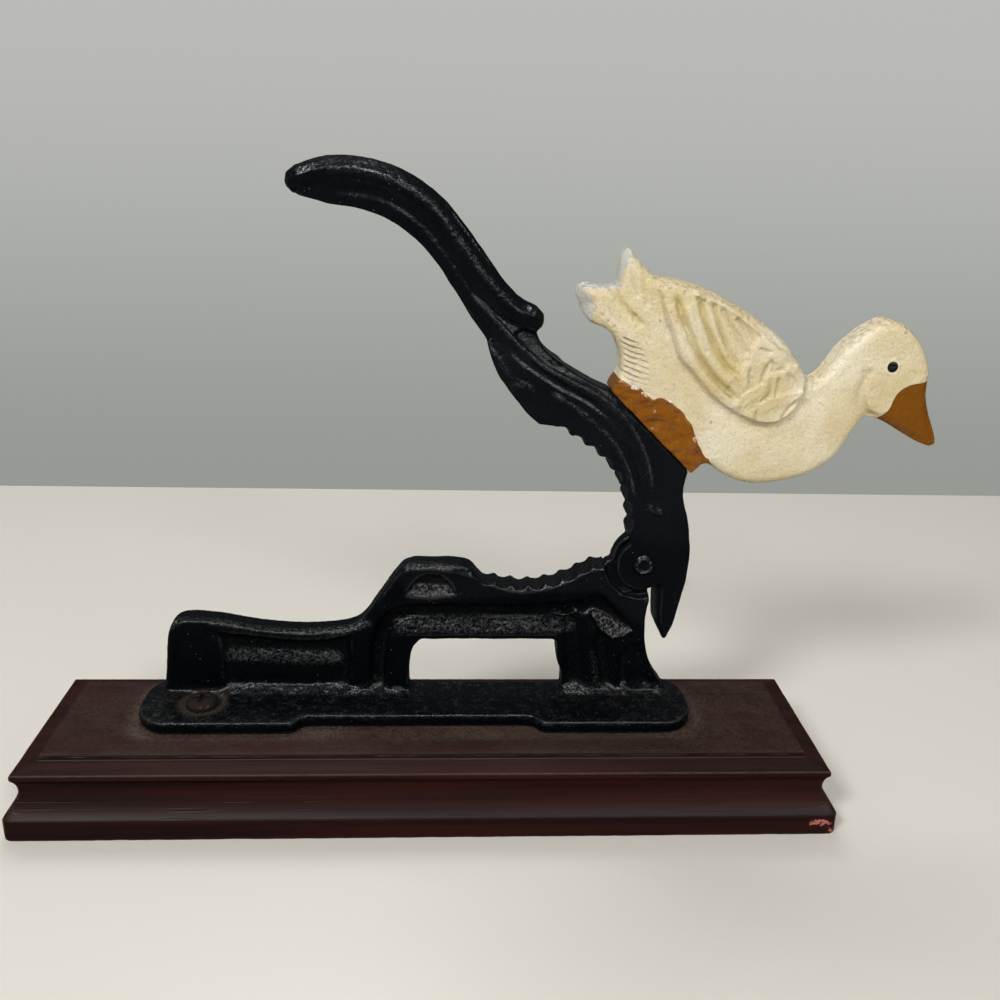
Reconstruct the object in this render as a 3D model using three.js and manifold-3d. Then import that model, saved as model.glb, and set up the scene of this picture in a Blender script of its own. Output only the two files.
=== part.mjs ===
// Lever nutcracker press: a cast-iron lower jaw on a moulded wooden plinth, a forked lever
// riveted to it, and a goose figure seated on the lever's back.
// Millimetres. +X runs towards the goose's beak, +Y away from the viewer, +Z up.
// The origin is the centre of the plinth's underside. The lever is drawn at its open rest pose.

import * as THREE from 'three';
import { mergeVertices } from 'three/addons/utils/BufferGeometryUtils.js';
import Module from 'manifold-3d';

const wasm = await Module();
wasm.setup();

// Plinth: a moulded board, from its underside up
const plinthLength = 203.2;
const plinthDepth = 50.8;
const plinthBaseHeight = 5.4;
const coveHeight = 6.1;
const coveReach = 3.8;
const underslabHeight = 3.6;
const slabOverhang = 1.3;
const slabEdgeHeight = 1.4;
const slabLedge = 5.2;
const slabRise = 1.0;
const plateauStep = 1.55;
const plateauRounding = 0.5;
const plinthTop = plinthBaseHeight + coveHeight + underslabHeight + slabEdgeHeight + slabRise + plateauStep;

// Frame casting: flange, wall with the rest, lower jaw and leg, tongue
const flangeLength = 144.2;
const flangeDepth = 24;
const flangeThickness = 3.4;
const flangeRounding = 0.7;
const flangeCornerRadius = 9.5;
const flangeLeft = -75.3;
const flangeFront = -9.5;
const frontWaistInset = 3.5;
const backWaistInset = 2.6;
const waistBlend = 2.6;
const wallThickness = 7.6;
const wallSetback = 0.6;
const wallRounding = 1.1;
const pocketDepth = 1.7;
const fluteDepth = 1.3;
const ledgeReach = 1.3;
const pivotRise = 37;
const tongueThickness = 3.8;
const eyeRadius = 8;
const shoulderRadius = 9.7;
const toothDepth = 1.15;
const toothCutterRadius = 2.1;
const lowerToothCount = 8;
const upperToothCount = 8;

// Lever casting: handle, upper jaw, fork and tail
const leverRise = 98;
const leverThickness = 9.6;
const leverRounding = 1.1;
const handleWebThickness = 5.6;
const handleWebRounding = 1;
const beadRadius = 3.9;
const knuckleRadius = 6.9;
const leverFluteWidth = 2.2;
const leverFluteDepth = 0.8;

// Goose figure
const gooseLength = 92.4;
const gooseEdgeThickness = 7;
const gooseEdgeRounding = 0.9;
const bodyHalfThickness = 6.4;
const headHalfThickness = 6.2;
const wingHalfThickness = 7.3;
const featherGrooveWidth = 1.1;
const saddleThickness = 9.2;
const tenonThickness = 4;
const tenonLength = 12;
const tenonDepth = 4;

// Rivet and screws
const rivetRadius = 2.3;
const rivetHeadRadius = 2.9;
const rivetHeadHeight = 0.6;
const screwShankRadius = 2.05;
const screwHeadRadius = 4.1;
const screwHeadHeight = 2.3;
const screwSlotWidth = 1.1;
const screwSlotLength = 4.4;
const screwSlotDepth = 1.5;
const flangeScrewLength = 15;
const flangeScrewInset = 16.6;
const flangeScrewSetback = 9.6;
const spotfaceRadius = 6.4;
const spotfaceDepth = 0.4;
const footScrewLength = 25.4;
const footScrewInset = 27;
const screwTipLength = 3;

// Fits
const clearance = 0.3;
const rivetPlay = 0.08;
const overrun = 1;

const flangeTop = plinthTop + flangeThickness;
const wallCentre = flangeFront + flangeDepth - wallSetback - wallThickness / 2;
const pivotX = flangeLeft + flangeLength * 0.898;
const pivotZ = flangeTop + pivotRise;
const slotThickness = tongueThickness + 2 * clearance;

const roundSides = 28;
const roundingSteps = 2;
const curveSteps = 3;

function solid(geometry) {
  geometry.deleteAttribute('normal');
  geometry.deleteAttribute('uv');
  const merged = mergeVertices(geometry);
  return new wasm.Manifold(new wasm.Mesh({
    numProp: 3,
    vertProperties: new Float32Array(merged.attributes.position.array),
    triVerts: new Uint32Array(merged.index.array),
  }));
}

function named(name, body, colour, roughness, metalness) {
  const cut = body.getMesh();
  const geometry = new THREE.BufferGeometry();
  geometry.setAttribute('position', new THREE.BufferAttribute(new Float32Array(cut.vertProperties), 3));
  geometry.setIndex(new THREE.BufferAttribute(new Uint32Array(cut.triVerts), 1));
  geometry.computeVertexNormals();
  const mesh = new THREE.Mesh(geometry, new THREE.MeshStandardMaterial({ color: colour, roughness, metalness }));
  mesh.name = name;
  return mesh;
}

// An outline is a start point and runs: a run of one point is a straight line, a longer one a curve.
function outline(start, runs, place) {
  const shape = new THREE.Shape();
  shape.moveTo(...place(start));
  for (const run of runs) {
    if (run.length === 1) shape.lineTo(...place(run[0]));
    else shape.splineThru(run.map((point) => new THREE.Vector2(...place(point))));
  }
  return shape;
}

function curveThrough(shares, place) {
  return new THREE.SplineCurve(shares.map((point) => new THREE.Vector2(...place(point))));
}

function union(bodies) {
  return bodies.reduce((whole, body) => whole.add(body));
}

// A flat body standing in the XZ plane, its thickness along Y.
function plate(shape, thickness, centreY, rounding = 0) {
  const geometry = new THREE.ExtrudeGeometry(shape, {
    depth: thickness - 2 * rounding,
    bevelEnabled: rounding > 0,
    bevelThickness: rounding,
    bevelSize: rounding,
    bevelOffset: -rounding,
    bevelSegments: roundingSteps,
    curveSegments: curveSteps,
  });
  geometry.translate(0, 0, rounding - thickness / 2);
  geometry.rotateX(Math.PI / 2);
  geometry.translate(0, centreY, 0);
  return solid(geometry);
}

// The same cut or rib on both faces of a plate.
function bothFaces(makeAt, faceOffset) {
  return makeAt(wallCentre - faceOffset).add(makeAt(wallCentre + faceOffset));
}

function disc(radius, length, x, y, z, sides = roundSides) {
  const geometry = new THREE.CylinderGeometry(radius, radius, length, sides);
  geometry.translate(x, y, z);
  return solid(geometry);
}

function post(topRadius, bottomRadius, bottom, top, x, y, sides = roundSides) {
  const geometry = new THREE.CylinderGeometry(topRadius, bottomRadius, top - bottom, sides);
  geometry.rotateX(Math.PI / 2);
  geometry.translate(x, y, (bottom + top) / 2);
  return solid(geometry);
}

function block(width, depth, height, x, y, z) {
  const geometry = new THREE.BoxGeometry(width, depth, height);
  geometry.translate(x, y, z);
  return solid(geometry);
}

function ellipsoid(halfLength, halfDepth, halfHeight, tilt, x, y, z, sides = roundSides) {
  const geometry = new THREE.SphereGeometry(1, sides, sides / 2);
  geometry.scale(halfLength, halfDepth, halfHeight);
  geometry.rotateY(-tilt);
  geometry.translate(x, y, z);
  return solid(geometry);
}

// A round bar along a curve in the XZ plane, with ball ends. radiusAt gives its radius along the way.
function roundBar(curve, radiusAt, centreY, steps, sides = 10) {
  const rings = [];
  for (let step = 0; step <= steps; step += 1) {
    const share = step / steps;
    rings.push({ centre: curve.getPointAt(share), tangent: curve.getTangentAt(share), radius: radiusAt(share) });
  }
  const capped = (ring, outwards) => [Math.PI / 4, Math.PI * 0.44].map((angle) => ({
    centre: ring.centre.clone().addScaledVector(ring.tangent, outwards * ring.radius * Math.sin(angle)),
    tangent: ring.tangent,
    radius: ring.radius * Math.cos(angle),
  }));
  rings.unshift(...capped(rings[0], -1).reverse());
  rings.push(...capped(rings[rings.length - 1], 1));

  const positions = rings.flatMap(({ centre, tangent, radius }) => {
    const ring = [];
    for (let side = 0; side < sides; side += 1) {
      const angle = (2 * Math.PI * side) / sides;
      const across = radius * Math.cos(angle);
      ring.push(centre.x - tangent.y * across, centreY + radius * Math.sin(angle), centre.y + tangent.x * across);
    }
    return ring;
  });
  const faces = [];
  for (let ring = 0; ring < rings.length - 1; ring += 1) {
    for (let side = 0; side < sides; side += 1) {
      const a = ring * sides + side;
      const b = ring * sides + ((side + 1) % sides);
      faces.push(a, b + sides, b, a, a + sides, b + sides);
    }
  }
  const last = (rings.length - 1) * sides;
  for (let side = 1; side < sides - 1; side += 1) {
    faces.push(0, side, side + 1, last, last + side + 1, last + side);
  }
  const geometry = new THREE.BufferGeometry();
  geometry.setAttribute('position', new THREE.Float32BufferAttribute(positions, 3));
  geometry.setIndex(faces);
  return solid(geometry);
}

// A strip of even width along a curve, through a thickness along Y.
function ribbon(curve, width, thickness, centreY, steps) {
  const sides = [];
  for (let step = 0; step <= steps; step += 1) {
    const centre = curve.getPointAt(step / steps);
    const tangent = curve.getTangentAt(step / steps);
    const across = new THREE.Vector2(-tangent.y, tangent.x).multiplyScalar(width / 2);
    sides.push([centre.clone().add(across), centre.clone().sub(across)]);
  }
  const shape = new THREE.Shape([...sides.map((pair) => pair[0]), ...sides.reverse().map((pair) => pair[1])]);
  return plate(shape, thickness, centreY);
}

// A board with the same moulding on all four sides, mitred at its corners.
function mouldedBoard(length, depth, profile) {
  const positions = [];
  const faces = [];
  for (const [inset, height] of profile) {
    const halfLength = length / 2 - inset;
    const halfDepth = depth / 2 - inset;
    positions.push(-halfLength, -halfDepth, height, halfLength, -halfDepth, height);
    positions.push(halfLength, halfDepth, height, -halfLength, halfDepth, height);
  }
  for (let layer = 0; layer < profile.length - 1; layer += 1) {
    for (let corner = 0; corner < 4; corner += 1) {
      const a = layer * 4 + corner;
      const b = layer * 4 + ((corner + 1) % 4);
      faces.push(a, b, b + 4, a, b + 4, a + 4);
    }
  }
  const top = (profile.length - 1) * 4;
  faces.push(0, 2, 1, 0, 3, 2, top, top + 1, top + 2, top, top + 2, top + 3);
  const geometry = new THREE.BufferGeometry();
  geometry.setAttribute('position', new THREE.Float32BufferAttribute(positions, 3));
  geometry.setIndex(faces);
  return solid(geometry);
}

// The scallops between teeth: round cutters set along the biting edge.
function toothCutters(edge, count, thickness, outwards) {
  const cutters = [];
  for (let tooth = 0; tooth < count; tooth += 1) {
    const share = (tooth + 0.5) / count;
    const point = edge.getPointAt(share);
    const tangent = edge.getTangentAt(share);
    const stand = (toothCutterRadius - toothDepth) * outwards;
    const x = point.x - tangent.y * stand;
    const z = point.y + tangent.x * stand;
    cutters.push(disc(toothCutterRadius, thickness + 2 * overrun, x, wallCentre, z, 12));
  }
  return union(cutters);
}

// Plinth

function plinthProfile() {
  const coveTop = plinthBaseHeight + coveHeight;
  const slabBottom = coveTop + underslabHeight;
  const slabInset = coveReach - slabOverhang;
  const slabTop = slabBottom + slabEdgeHeight;
  const cove = new THREE.QuadraticBezierCurve(
    new THREE.Vector2(0, plinthBaseHeight),
    new THREE.Vector2(coveReach * 0.68, plinthBaseHeight + coveHeight * 0.36),
    new THREE.Vector2(coveReach, coveTop),
  );
  const underslab = new THREE.QuadraticBezierCurve(
    new THREE.Vector2(coveReach, coveTop),
    new THREE.Vector2(coveReach, slabBottom - underslabHeight * 0.3),
    new THREE.Vector2(slabInset, slabBottom),
  );
  const ledgeInset = slabInset + slabLedge;
  return [
    [0, 0],
    ...cove.getPoints(6).map((point) => [point.x, point.y]),
    ...underslab.getPoints(4).slice(1).map((point) => [point.x, point.y]),
    [slabInset, slabTop],
    [ledgeInset, slabTop + slabRise],
    [ledgeInset, plinthTop - plateauRounding],
    [ledgeInset + plateauRounding, plinthTop],
  ];
}

function plinth() {
  const pilotRadius = screwShankRadius + clearance;
  const headRadius = screwHeadRadius + clearance;
  const flangePilot = post(pilotRadius, pilotRadius, flangeScrewBottom() - clearance, plinthTop + overrun,
    flangeScrewX(), flangeScrewY());
  const footPilot = post(pilotRadius, pilotRadius, -overrun, plinthTop + overrun, footScrewX(), wallCentre);
  const footSink = post(pilotRadius, headRadius, 0, screwHeadHeight + clearance, footScrewX(), wallCentre);
  const footMouth = post(headRadius, headRadius, -overrun, 0, footScrewX(), wallCentre);
  return mouldedBoard(plinthLength, plinthDepth, plinthProfile())
    .subtract(flangePilot).subtract(footPilot).subtract(footSink).subtract(footMouth);
}

// Frame casting

const onFrame = ([along, up]) => [flangeLeft + along * flangeLength, flangeTop + up * pivotRise];

const frameStartShare = [0.036, -0.03];
const biteShares = [
  [0.606, 0.882], [0.63, 0.856], [0.66, 0.834], [0.69, 0.826], [0.72, 0.838], [0.748, 0.868],
  [0.775, 0.916], [0.805, 0.977], [0.838, 1.004],
];
const frameRunsShares = [
  [[0.047, 0.32]],
  [[0.0515, 0.45], [0.062, 0.522], [0.084, 0.552], [0.138, 0.537], [0.209, 0.484], [0.281, 0.461],
    [0.335, 0.468], [0.374, 0.494], [0.398, 0.553], [0.435, 0.762], [0.4535, 0.87], [0.47, 0.946], [0.489, 0.978]],
  [[0.556, 0.978]],
  [[0.58, 0.966], [0.594, 0.938], [0.606, 0.882]],
  biteShares.slice(1),
  [[0.898, 1]],
  [[0.917, 0.72]],
  [[0.913, 0.6], [0.913, 0.5], [0.917, 0.36], [0.926, 0.23], [0.941, 0.11], [0.958, 0.02]],
  [[0.958, -0.03]],
];

const windowStartShare = [0.4812, -0.1];
const windowRunsShares = [
  [[0.4812, 0.12]],
  [[0.484, 0.26], [0.491, 0.355], [0.5035, 0.408]],
  [[0.744, 0.408]],
  [[0.7515, 0.385], [0.7515, 0.32], [0.754, 0.22], [0.762, 0.15], [0.764, 0.08]],
  [[0.764, -0.1]],
];

const restPanelStartShare = [0.135, 0.19];
const restPanelRunsShares = [
  [[0.138, 0.43]],
  [[0.2, 0.405], [0.28, 0.388], [0.366, 0.4]],
  [[0.366, 0.19]],
];

const moonStartShare = [0.474, 0.745];
const moonRunsShares = [
  [[0.482, 0.84], [0.5, 0.9], [0.52, 0.915], [0.541, 0.885], [0.556, 0.82], [0.563, 0.745]],
];

const jawPocketStartShare = [0.436, 0.43];
const jawPocketRunsShares = [
  [[0.456, 0.655]],
  [[0.6, 0.655], [0.7, 0.665], [0.784, 0.7], [0.833, 0.738]],
  [[0.884, 0.5]],
  [[0.83, 0.43]],
];

const ledgeStartShare = [0.44, 0.415];
const ledgeRunsShares = [
  [[0.447, 0.56]],
  [[0.79, 0.56]],
  [[0.79, 0.415]],
];

// Each flute is a width along the flange and a foot and head above it.
const pierFluteShares = [
  { from: 0.418, to: 0.452, foot: 0.07, head: 0.46 },
  { from: 0.776, to: 0.812, foot: 0.07, head: 0.43 },
  { from: 0.824, to: 0.845, foot: 0.05, head: 0.43 },
  { from: 0.868, to: 0.889, foot: 0.07, head: 0.31 },
];

function flangeShape() {
  const right = flangeLeft + flangeLength;
  const back = flangeFront + flangeDepth;
  const corner = flangeCornerRadius;
  const frontWaist = [onFrame([0.291, 0])[0], onFrame([0.71, 0])[0]];
  const backWaist = [onFrame([windowStartShare[0], 0])[0], onFrame([0.764, 0])[0]];
  const shape = new THREE.Shape();
  const notch = (fromX, toX, edgeY, waistY) => {
    const lead = Math.sign(toX - fromX) * waistBlend;
    shape.lineTo(fromX - lead, edgeY);
    shape.bezierCurveTo(fromX, edgeY, fromX, waistY, fromX + lead, waistY);
    shape.lineTo(toX - lead, waistY);
    shape.bezierCurveTo(toX, waistY, toX, edgeY, toX + lead, edgeY);
  };
  shape.moveTo(flangeLeft + corner, flangeFront);
  notch(frontWaist[0], frontWaist[1], flangeFront, flangeFront + frontWaistInset);
  shape.lineTo(right - corner, flangeFront);
  shape.absarc(right - corner, flangeFront + corner, corner, -Math.PI / 2, 0, false);
  shape.lineTo(right, back - corner);
  shape.absarc(right - corner, back - corner, corner, 0, Math.PI / 2, false);
  notch(backWaist[1], backWaist[0], back, back - backWaistInset);
  shape.lineTo(flangeLeft + corner, back);
  shape.absarc(flangeLeft + corner, back - corner, corner, Math.PI / 2, Math.PI, false);
  shape.lineTo(flangeLeft, flangeFront + corner);
  shape.absarc(flangeLeft + corner, flangeFront + corner, corner, Math.PI, 1.5 * Math.PI, false);
  return shape;
}

function flange() {
  const geometry = new THREE.ExtrudeGeometry(flangeShape(), {
    depth: flangeThickness + flangeRounding,
    bevelThickness: flangeRounding,
    bevelSize: flangeRounding,
    bevelOffset: -flangeRounding,
    bevelSegments: roundingSteps,
    curveSegments: 8,
  });
  geometry.translate(0, 0, flangeTop - flangeThickness - 2 * flangeRounding);
  const underCut = block(plinthLength, plinthDepth, plinthTop, 0, 0, plinthTop / 2);
  const spotface = post(spotfaceRadius, spotfaceRadius, flangeTop - spotfaceDepth, flangeTop + overrun,
    flangeScrewX(), flangeScrewY());
  return solid(geometry).subtract(underCut).subtract(spotface);
}

function wallPockets() {
  const face = wallThickness / 2;
  const cut = (start, runs, depth) => bothFaces(
    (y) => plate(outline(start, runs, onFrame), 2 * depth, y), face);
  const ledge = bothFaces(
    (y) => plate(outline(ledgeStartShare, ledgeRunsShares, onFrame), 2 * ledgeReach, y, ledgeReach * 0.8),
    face - pocketDepth);
  let pockets = cut(restPanelStartShare, restPanelRunsShares, fluteDepth)
    .add(cut(moonStartShare, moonRunsShares, pocketDepth))
    .add(cut(jawPocketStartShare, jawPocketRunsShares, pocketDepth).subtract(ledge));
  for (const { from, to, foot, head } of pierFluteShares) {
    const runs = [[[from, head]], [[to, head]], [[to, foot]]];
    pockets = pockets.add(cut([from, foot], runs, fluteDepth));
  }
  return pockets;
}

function lowerBiteCurve() {
  return curveThrough(biteShares, onFrame);
}

function frameCasting() {
  const shape = outline(frameStartShare, frameRunsShares, onFrame);
  const wall = plate(shape, wallThickness, wallCentre, wallRounding)
    .subtract(plate(outline(windowStartShare, windowRunsShares, onFrame), wallThickness + 2 * overrun, wallCentre))
    .subtract(wallPockets())
    .subtract(disc(shoulderRadius, wallThickness + 2 * overrun, pivotX, wallCentre, pivotZ));
  const nearPivot = disc(shoulderRadius + overrun, tongueThickness, pivotX, wallCentre, pivotZ);
  const tongue = plate(shape, tongueThickness, wallCentre).intersect(nearPivot)
    .add(disc(eyeRadius, tongueThickness, pivotX, wallCentre, pivotZ));
  const holeRadius = rivetRadius + rivetPlay;
  const screwHole = post(screwShankRadius + clearance, screwShankRadius + clearance, plinthTop - overrun,
    flangeTop + overrun, flangeScrewX(), flangeScrewY());
  const footHole = post(screwShankRadius + clearance, screwShankRadius + clearance, plinthTop - overrun,
    footScrewLength + clearance, footScrewX(), wallCentre);
  return wall.add(flange()).add(tongue)
    .subtract(toothCutters(lowerBiteCurve(), lowerToothCount, wallThickness, 1))
    .subtract(disc(holeRadius, tongueThickness + 2 * overrun, pivotX, wallCentre, pivotZ))
    .subtract(screwHole)
    .subtract(footHole);
}

// Lever casting

const onLever = ([along, up]) => [pivotX + along * leverRise, pivotZ + up * leverRise];

const seatTopShare = [-0.115, 0.462];
const seatBottomShare = [0.098, 0.256];

const beadShares = [
  [-0.862, 0.938], [-0.8, 0.957], [-0.748, 0.959], [-0.69, 0.951], [-0.63, 0.929], [-0.566, 0.888],
  [-0.512, 0.829], [-0.464, 0.767], [-0.414, 0.7], [-0.366, 0.653], [-0.318, 0.63],
];
const handleRunsShares = [
  beadShares.slice(1),
  [[-0.303, 0.6]],
  [[-0.3, 0.5]],
  [[-0.35, 0.44]],
  [[-0.39, 0.491], [-0.412, 0.536], [-0.423, 0.576], [-0.466, 0.638], [-0.514, 0.712], [-0.573, 0.79],
    [-0.643, 0.846], [-0.722, 0.876], [-0.79, 0.886], [-0.868, 0.904]],
  [beadShares[0]],
];

const upperBiteShares = [
  [-0.25, 0.37], [-0.19, 0.335], [-0.125, 0.286], [-0.08, 0.226], [-0.055, 0.155], [-0.047, 0.09],
];
const jawStartShare = [-0.303, 0.6];
const jawRunsShares = [
  [[-0.285, 0.565], [-0.242, 0.53], [-0.173, 0.488], seatTopShare],
  [seatBottomShare],
  [[0.089, 0.213], [0.095, 0.17], [0.107, 0.132], [0.117, 0.077], [0.122, 0.037], [0.119, -0.04],
    [0.109, -0.1], [0.099, -0.155], [0.09, -0.199], [0.0843, -0.2128], [0.0705, -0.2185], [0.0567, -0.2128],
    [0.051, -0.199], [0.0445, -0.15], [0.042, -0.1]],
  [[0.04, -0.06]],
  [[-0.03, 0.02]],
  [[-0.047, 0.09]],
  upperBiteShares.slice(0, -1).reverse(),
  [[-0.289, 0.373]],
  [[-0.332, 0.414], [-0.39, 0.491], [-0.412, 0.536], [-0.423, 0.576]],
  [[-0.36, 0.64]],
];

const leverFluteShares = [
  [[-0.36, 0.61], [-0.3, 0.54], [-0.23, 0.49], [-0.15, 0.445], [-0.07, 0.38], [-0.02, 0.31]],
  [[-0.3, 0.48], [-0.23, 0.44], [-0.16, 0.395], [-0.095, 0.33], [-0.055, 0.27]],
];

function upperBiteCurve() {
  return curveThrough(upperBiteShares, onLever);
}

function leverFlutes() {
  return union(leverFluteShares.map((shares) => bothFaces(
    (y) => ribbon(curveThrough(shares, onLever), leverFluteWidth, 2 * leverFluteDepth, y, 12), leverThickness / 2)));
}

function forkSlot() {
  return disc(eyeRadius + 2 * clearance, slotThickness, pivotX, wallCentre, pivotZ);
}

function leverCasting() {
  const web = plate(outline(beadShares[0], handleRunsShares, onLever), handleWebThickness, wallCentre,
    handleWebRounding);
  const jaw = plate(outline(jawStartShare, jawRunsShares, onLever), leverThickness, wallCentre, leverRounding);
  const bead = roundBar(curveThrough(beadShares, onLever), (share) => beadRadius * (0.9 + 0.2 * share * (1 - share)),
    wallCentre, 20);
  const knuckle = disc(knuckleRadius, leverThickness, pivotX, wallCentre, pivotZ);
  return jaw.add(web).add(bead).add(knuckle)
    .subtract(leverFlutes())
    .subtract(toothCutters(upperBiteCurve(), upperToothCount, leverThickness, -1))
    .subtract(forkSlot())
    .subtract(tenonBody(clearance))
    .subtract(disc(rivetRadius + rivetPlay, leverThickness + 2 * overrun, pivotX, wallCentre, pivotZ));
}

// Goose figure

const seatTop = onLever(seatTopShare);
const seatBottom = onLever(seatBottomShare);
const seatMiddle = [(seatTop[0] + seatBottom[0]) / 2, (seatTop[1] + seatBottom[1]) / 2];
const seatTilt = Math.atan2(seatBottom[1] - seatTop[1], seatBottom[0] - seatTop[0]);
const seatNormal = [-Math.sin(seatTilt), Math.cos(seatTilt)];
const seatLift = [seatMiddle[0] + seatNormal[0] * clearance, seatMiddle[1] + seatNormal[1] * clearance];
const onGoose = ([along, up]) => [seatLift[0] + along * gooseLength, seatLift[1] + up * gooseLength];
const seatEndShare = 0.158;
const onSeat = (share) => [Math.cos(seatTilt) * share, Math.sin(seatTilt) * share];

const gooseRunsShares = [
  [[-0.094, 0.145]],
  [[-0.093, 0.195], [-0.11, 0.243], [-0.145, 0.273], [-0.18, 0.285]],
  [[-0.202, 0.318], [-0.215, 0.35], [-0.211, 0.374], [-0.19, 0.383], [-0.15, 0.377], [-0.112, 0.38]],
  [[-0.112, 0.42], [-0.109, 0.452], [-0.1, 0.469], [-0.084, 0.47], [-0.066, 0.452], [-0.04, 0.424], [-0.012, 0.405]],
  [[0.03, 0.399], [0.11, 0.378], [0.19, 0.342], [0.27, 0.297], [0.335, 0.245], [0.38, 0.19], [0.41, 0.152],
    [0.44, 0.156], [0.466, 0.19], [0.51, 0.253], [0.565, 0.294], [0.625, 0.307], [0.68, 0.277], [0.72, 0.215],
    [0.735, 0.15], [0.736, 0.105]],
  [[0.748, 0.062], [0.766, 0.02], [0.783, -0.012], [0.779, -0.031], [0.76, -0.033], [0.725, -0.015],
    [0.68, 0.014], [0.63, 0.038], [0.574, 0.053]],
  [[0.545, 0], [0.5, -0.062], [0.44, -0.112], [0.36, -0.14], [0.29, -0.147], [0.22, -0.13], [0.165, -0.092],
    [0.14, -0.09]],
];
const wingStartShare = [-0.085, 0.44];
const wingRunsShares = [
  [[-0.068, 0.45], [-0.012, 0.402], [0.03, 0.392], [0.11, 0.37], [0.19, 0.334], [0.27, 0.288], [0.333, 0.237], [0.375, 0.184],
    [0.399, 0.12], [0.39, 0.065], [0.35, 0.035], [0.29, 0.032], [0.23, 0.055], [0.16, 0.105], [0.1, 0.16],
    [0.048, 0.22], [0.018, 0.29], [-0.03, 0.37], wingStartShare],
];
const featherShares = [
  [[-0.03, 0.41], [0.04, 0.3], [0.1, 0.2], [0.175, 0.125]],
  [[0.015, 0.385], [0.08, 0.28], [0.145, 0.185], [0.215, 0.125]],
  [[0.065, 0.37], [0.12, 0.28], [0.18, 0.2], [0.24, 0.15]],
  [[0.12, 0.35], [0.165, 0.275], [0.215, 0.205], [0.27, 0.165]],
];
const covertShares = [
  [[0.24, 0.22], [0.27, 0.19], [0.315, 0.185], [0.35, 0.205]],
  [[0.235, 0.15], [0.28, 0.125], [0.33, 0.125], [0.385, 0.145]],
  [[0.225, 0.09], [0.28, 0.07], [0.33, 0.075], [0.38, 0.095]],
  [[0.3, 0.19], [0.29, 0.125], [0.3, 0.07]],
];
const bodyEllipseShares = { at: [0.2, 0.13], halfLength: 0.3, halfHeight: 0.19, tilt: -0.62 };
const neckEllipseShares = { at: [0.47, 0.06], halfLength: 0.17, halfHeight: 0.1, tilt: 0.85 };
const wingEllipseShares = { at: [0.16, 0.2], halfLength: 0.37, halfHeight: 0.235, tilt: -0.78 };
const headEllipseShares = { at: [0.615, 0.185], halfLength: 0.118, halfHeight: 0.112, tilt: 0.3 };

function gooseOutline() {
  const start = onSeat(seatEndShare);
  const foot = onSeat(-seatEndShare);
  return outline(start, [[foot], ...gooseRunsShares, [start]], onGoose);
}

function lobe({ at, halfLength, halfHeight, tilt }, halfDepth) {
  const [x, z] = onGoose(at);
  return ellipsoid(halfLength * gooseLength, halfDepth, halfHeight * gooseLength, tilt, x, wallCentre, z, 20);
}

function tenonBody(gap) {
  const width = tenonLength + 2 * gap;
  const height = tenonDepth + 2 * gap + overrun;
  const geometry = new THREE.BoxGeometry(width, tenonThickness + 2 * gap, height);
  geometry.translate(0, 0, height / 2 - tenonDepth - gap);
  geometry.rotateY(-seatTilt);
  geometry.translate(seatLift[0], wallCentre, seatLift[1]);
  return solid(geometry);
}

function saddle() {
  const edge = [[-0.06, 0.14], [0.02, 0.095], [0.08, 0.06], [0.13, 0.01], [0.155, -0.07]];
  const shape = outline(onSeat(seatEndShare), [[onSeat(-seatEndShare)], [[-0.093, 0.135]], edge], onGoose);
  return plate(shape, saddleThickness, wallCentre, gooseEdgeRounding / 2);
}

// The wing stands proud of the body and follows its swell; the grooves between feathers reach down to it.
function wing() {
  const grooves = union([...featherShares, ...covertShares].map(
    (shares) => ribbon(curveThrough(shares, onGoose), featherGrooveWidth, 2 * wingHalfThickness + overrun, wallCentre, 6)));
  return plate(outline(wingStartShare, wingRunsShares, onGoose), 2 * wingHalfThickness, wallCentre)
    .intersect(lobe(wingEllipseShares, wingHalfThickness))
    .subtract(grooves);
}

function gooseFigure() {
  return plate(gooseOutline(), gooseEdgeThickness, wallCentre, gooseEdgeRounding)
    .add(lobe(bodyEllipseShares, bodyHalfThickness))
    .add(lobe(neckEllipseShares, bodyHalfThickness))
    .add(lobe(headEllipseShares, headHalfThickness))
    .add(saddle())
    .add(wing())
    .add(tenonBody(0));
}

// Rivet

function pivotRivet() {
  const half = leverThickness / 2;
  const head = (side) => {
    const geometry = new THREE.CylinderGeometry(
      side > 0 ? rivetRadius : rivetHeadRadius, side > 0 ? rivetHeadRadius : rivetRadius, rivetHeadHeight, roundSides);
    geometry.translate(pivotX, wallCentre + side * (half + rivetHeadHeight / 2), pivotZ);
    return solid(geometry);
  };
  return disc(rivetRadius, leverThickness + 2 * rivetHeadHeight, pivotX, wallCentre, pivotZ)
    .add(head(1)).add(head(-1));
}

// Screws

function flangeScrewX() {
  return flangeLeft + flangeScrewInset;
}

function flangeScrewY() {
  return flangeFront + flangeScrewSetback;
}

function flangeScrewBottom() {
  return flangeTop - spotfaceDepth - flangeScrewLength;
}

function footScrewX() {
  return flangeLeft + flangeLength - footScrewInset;
}

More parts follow.
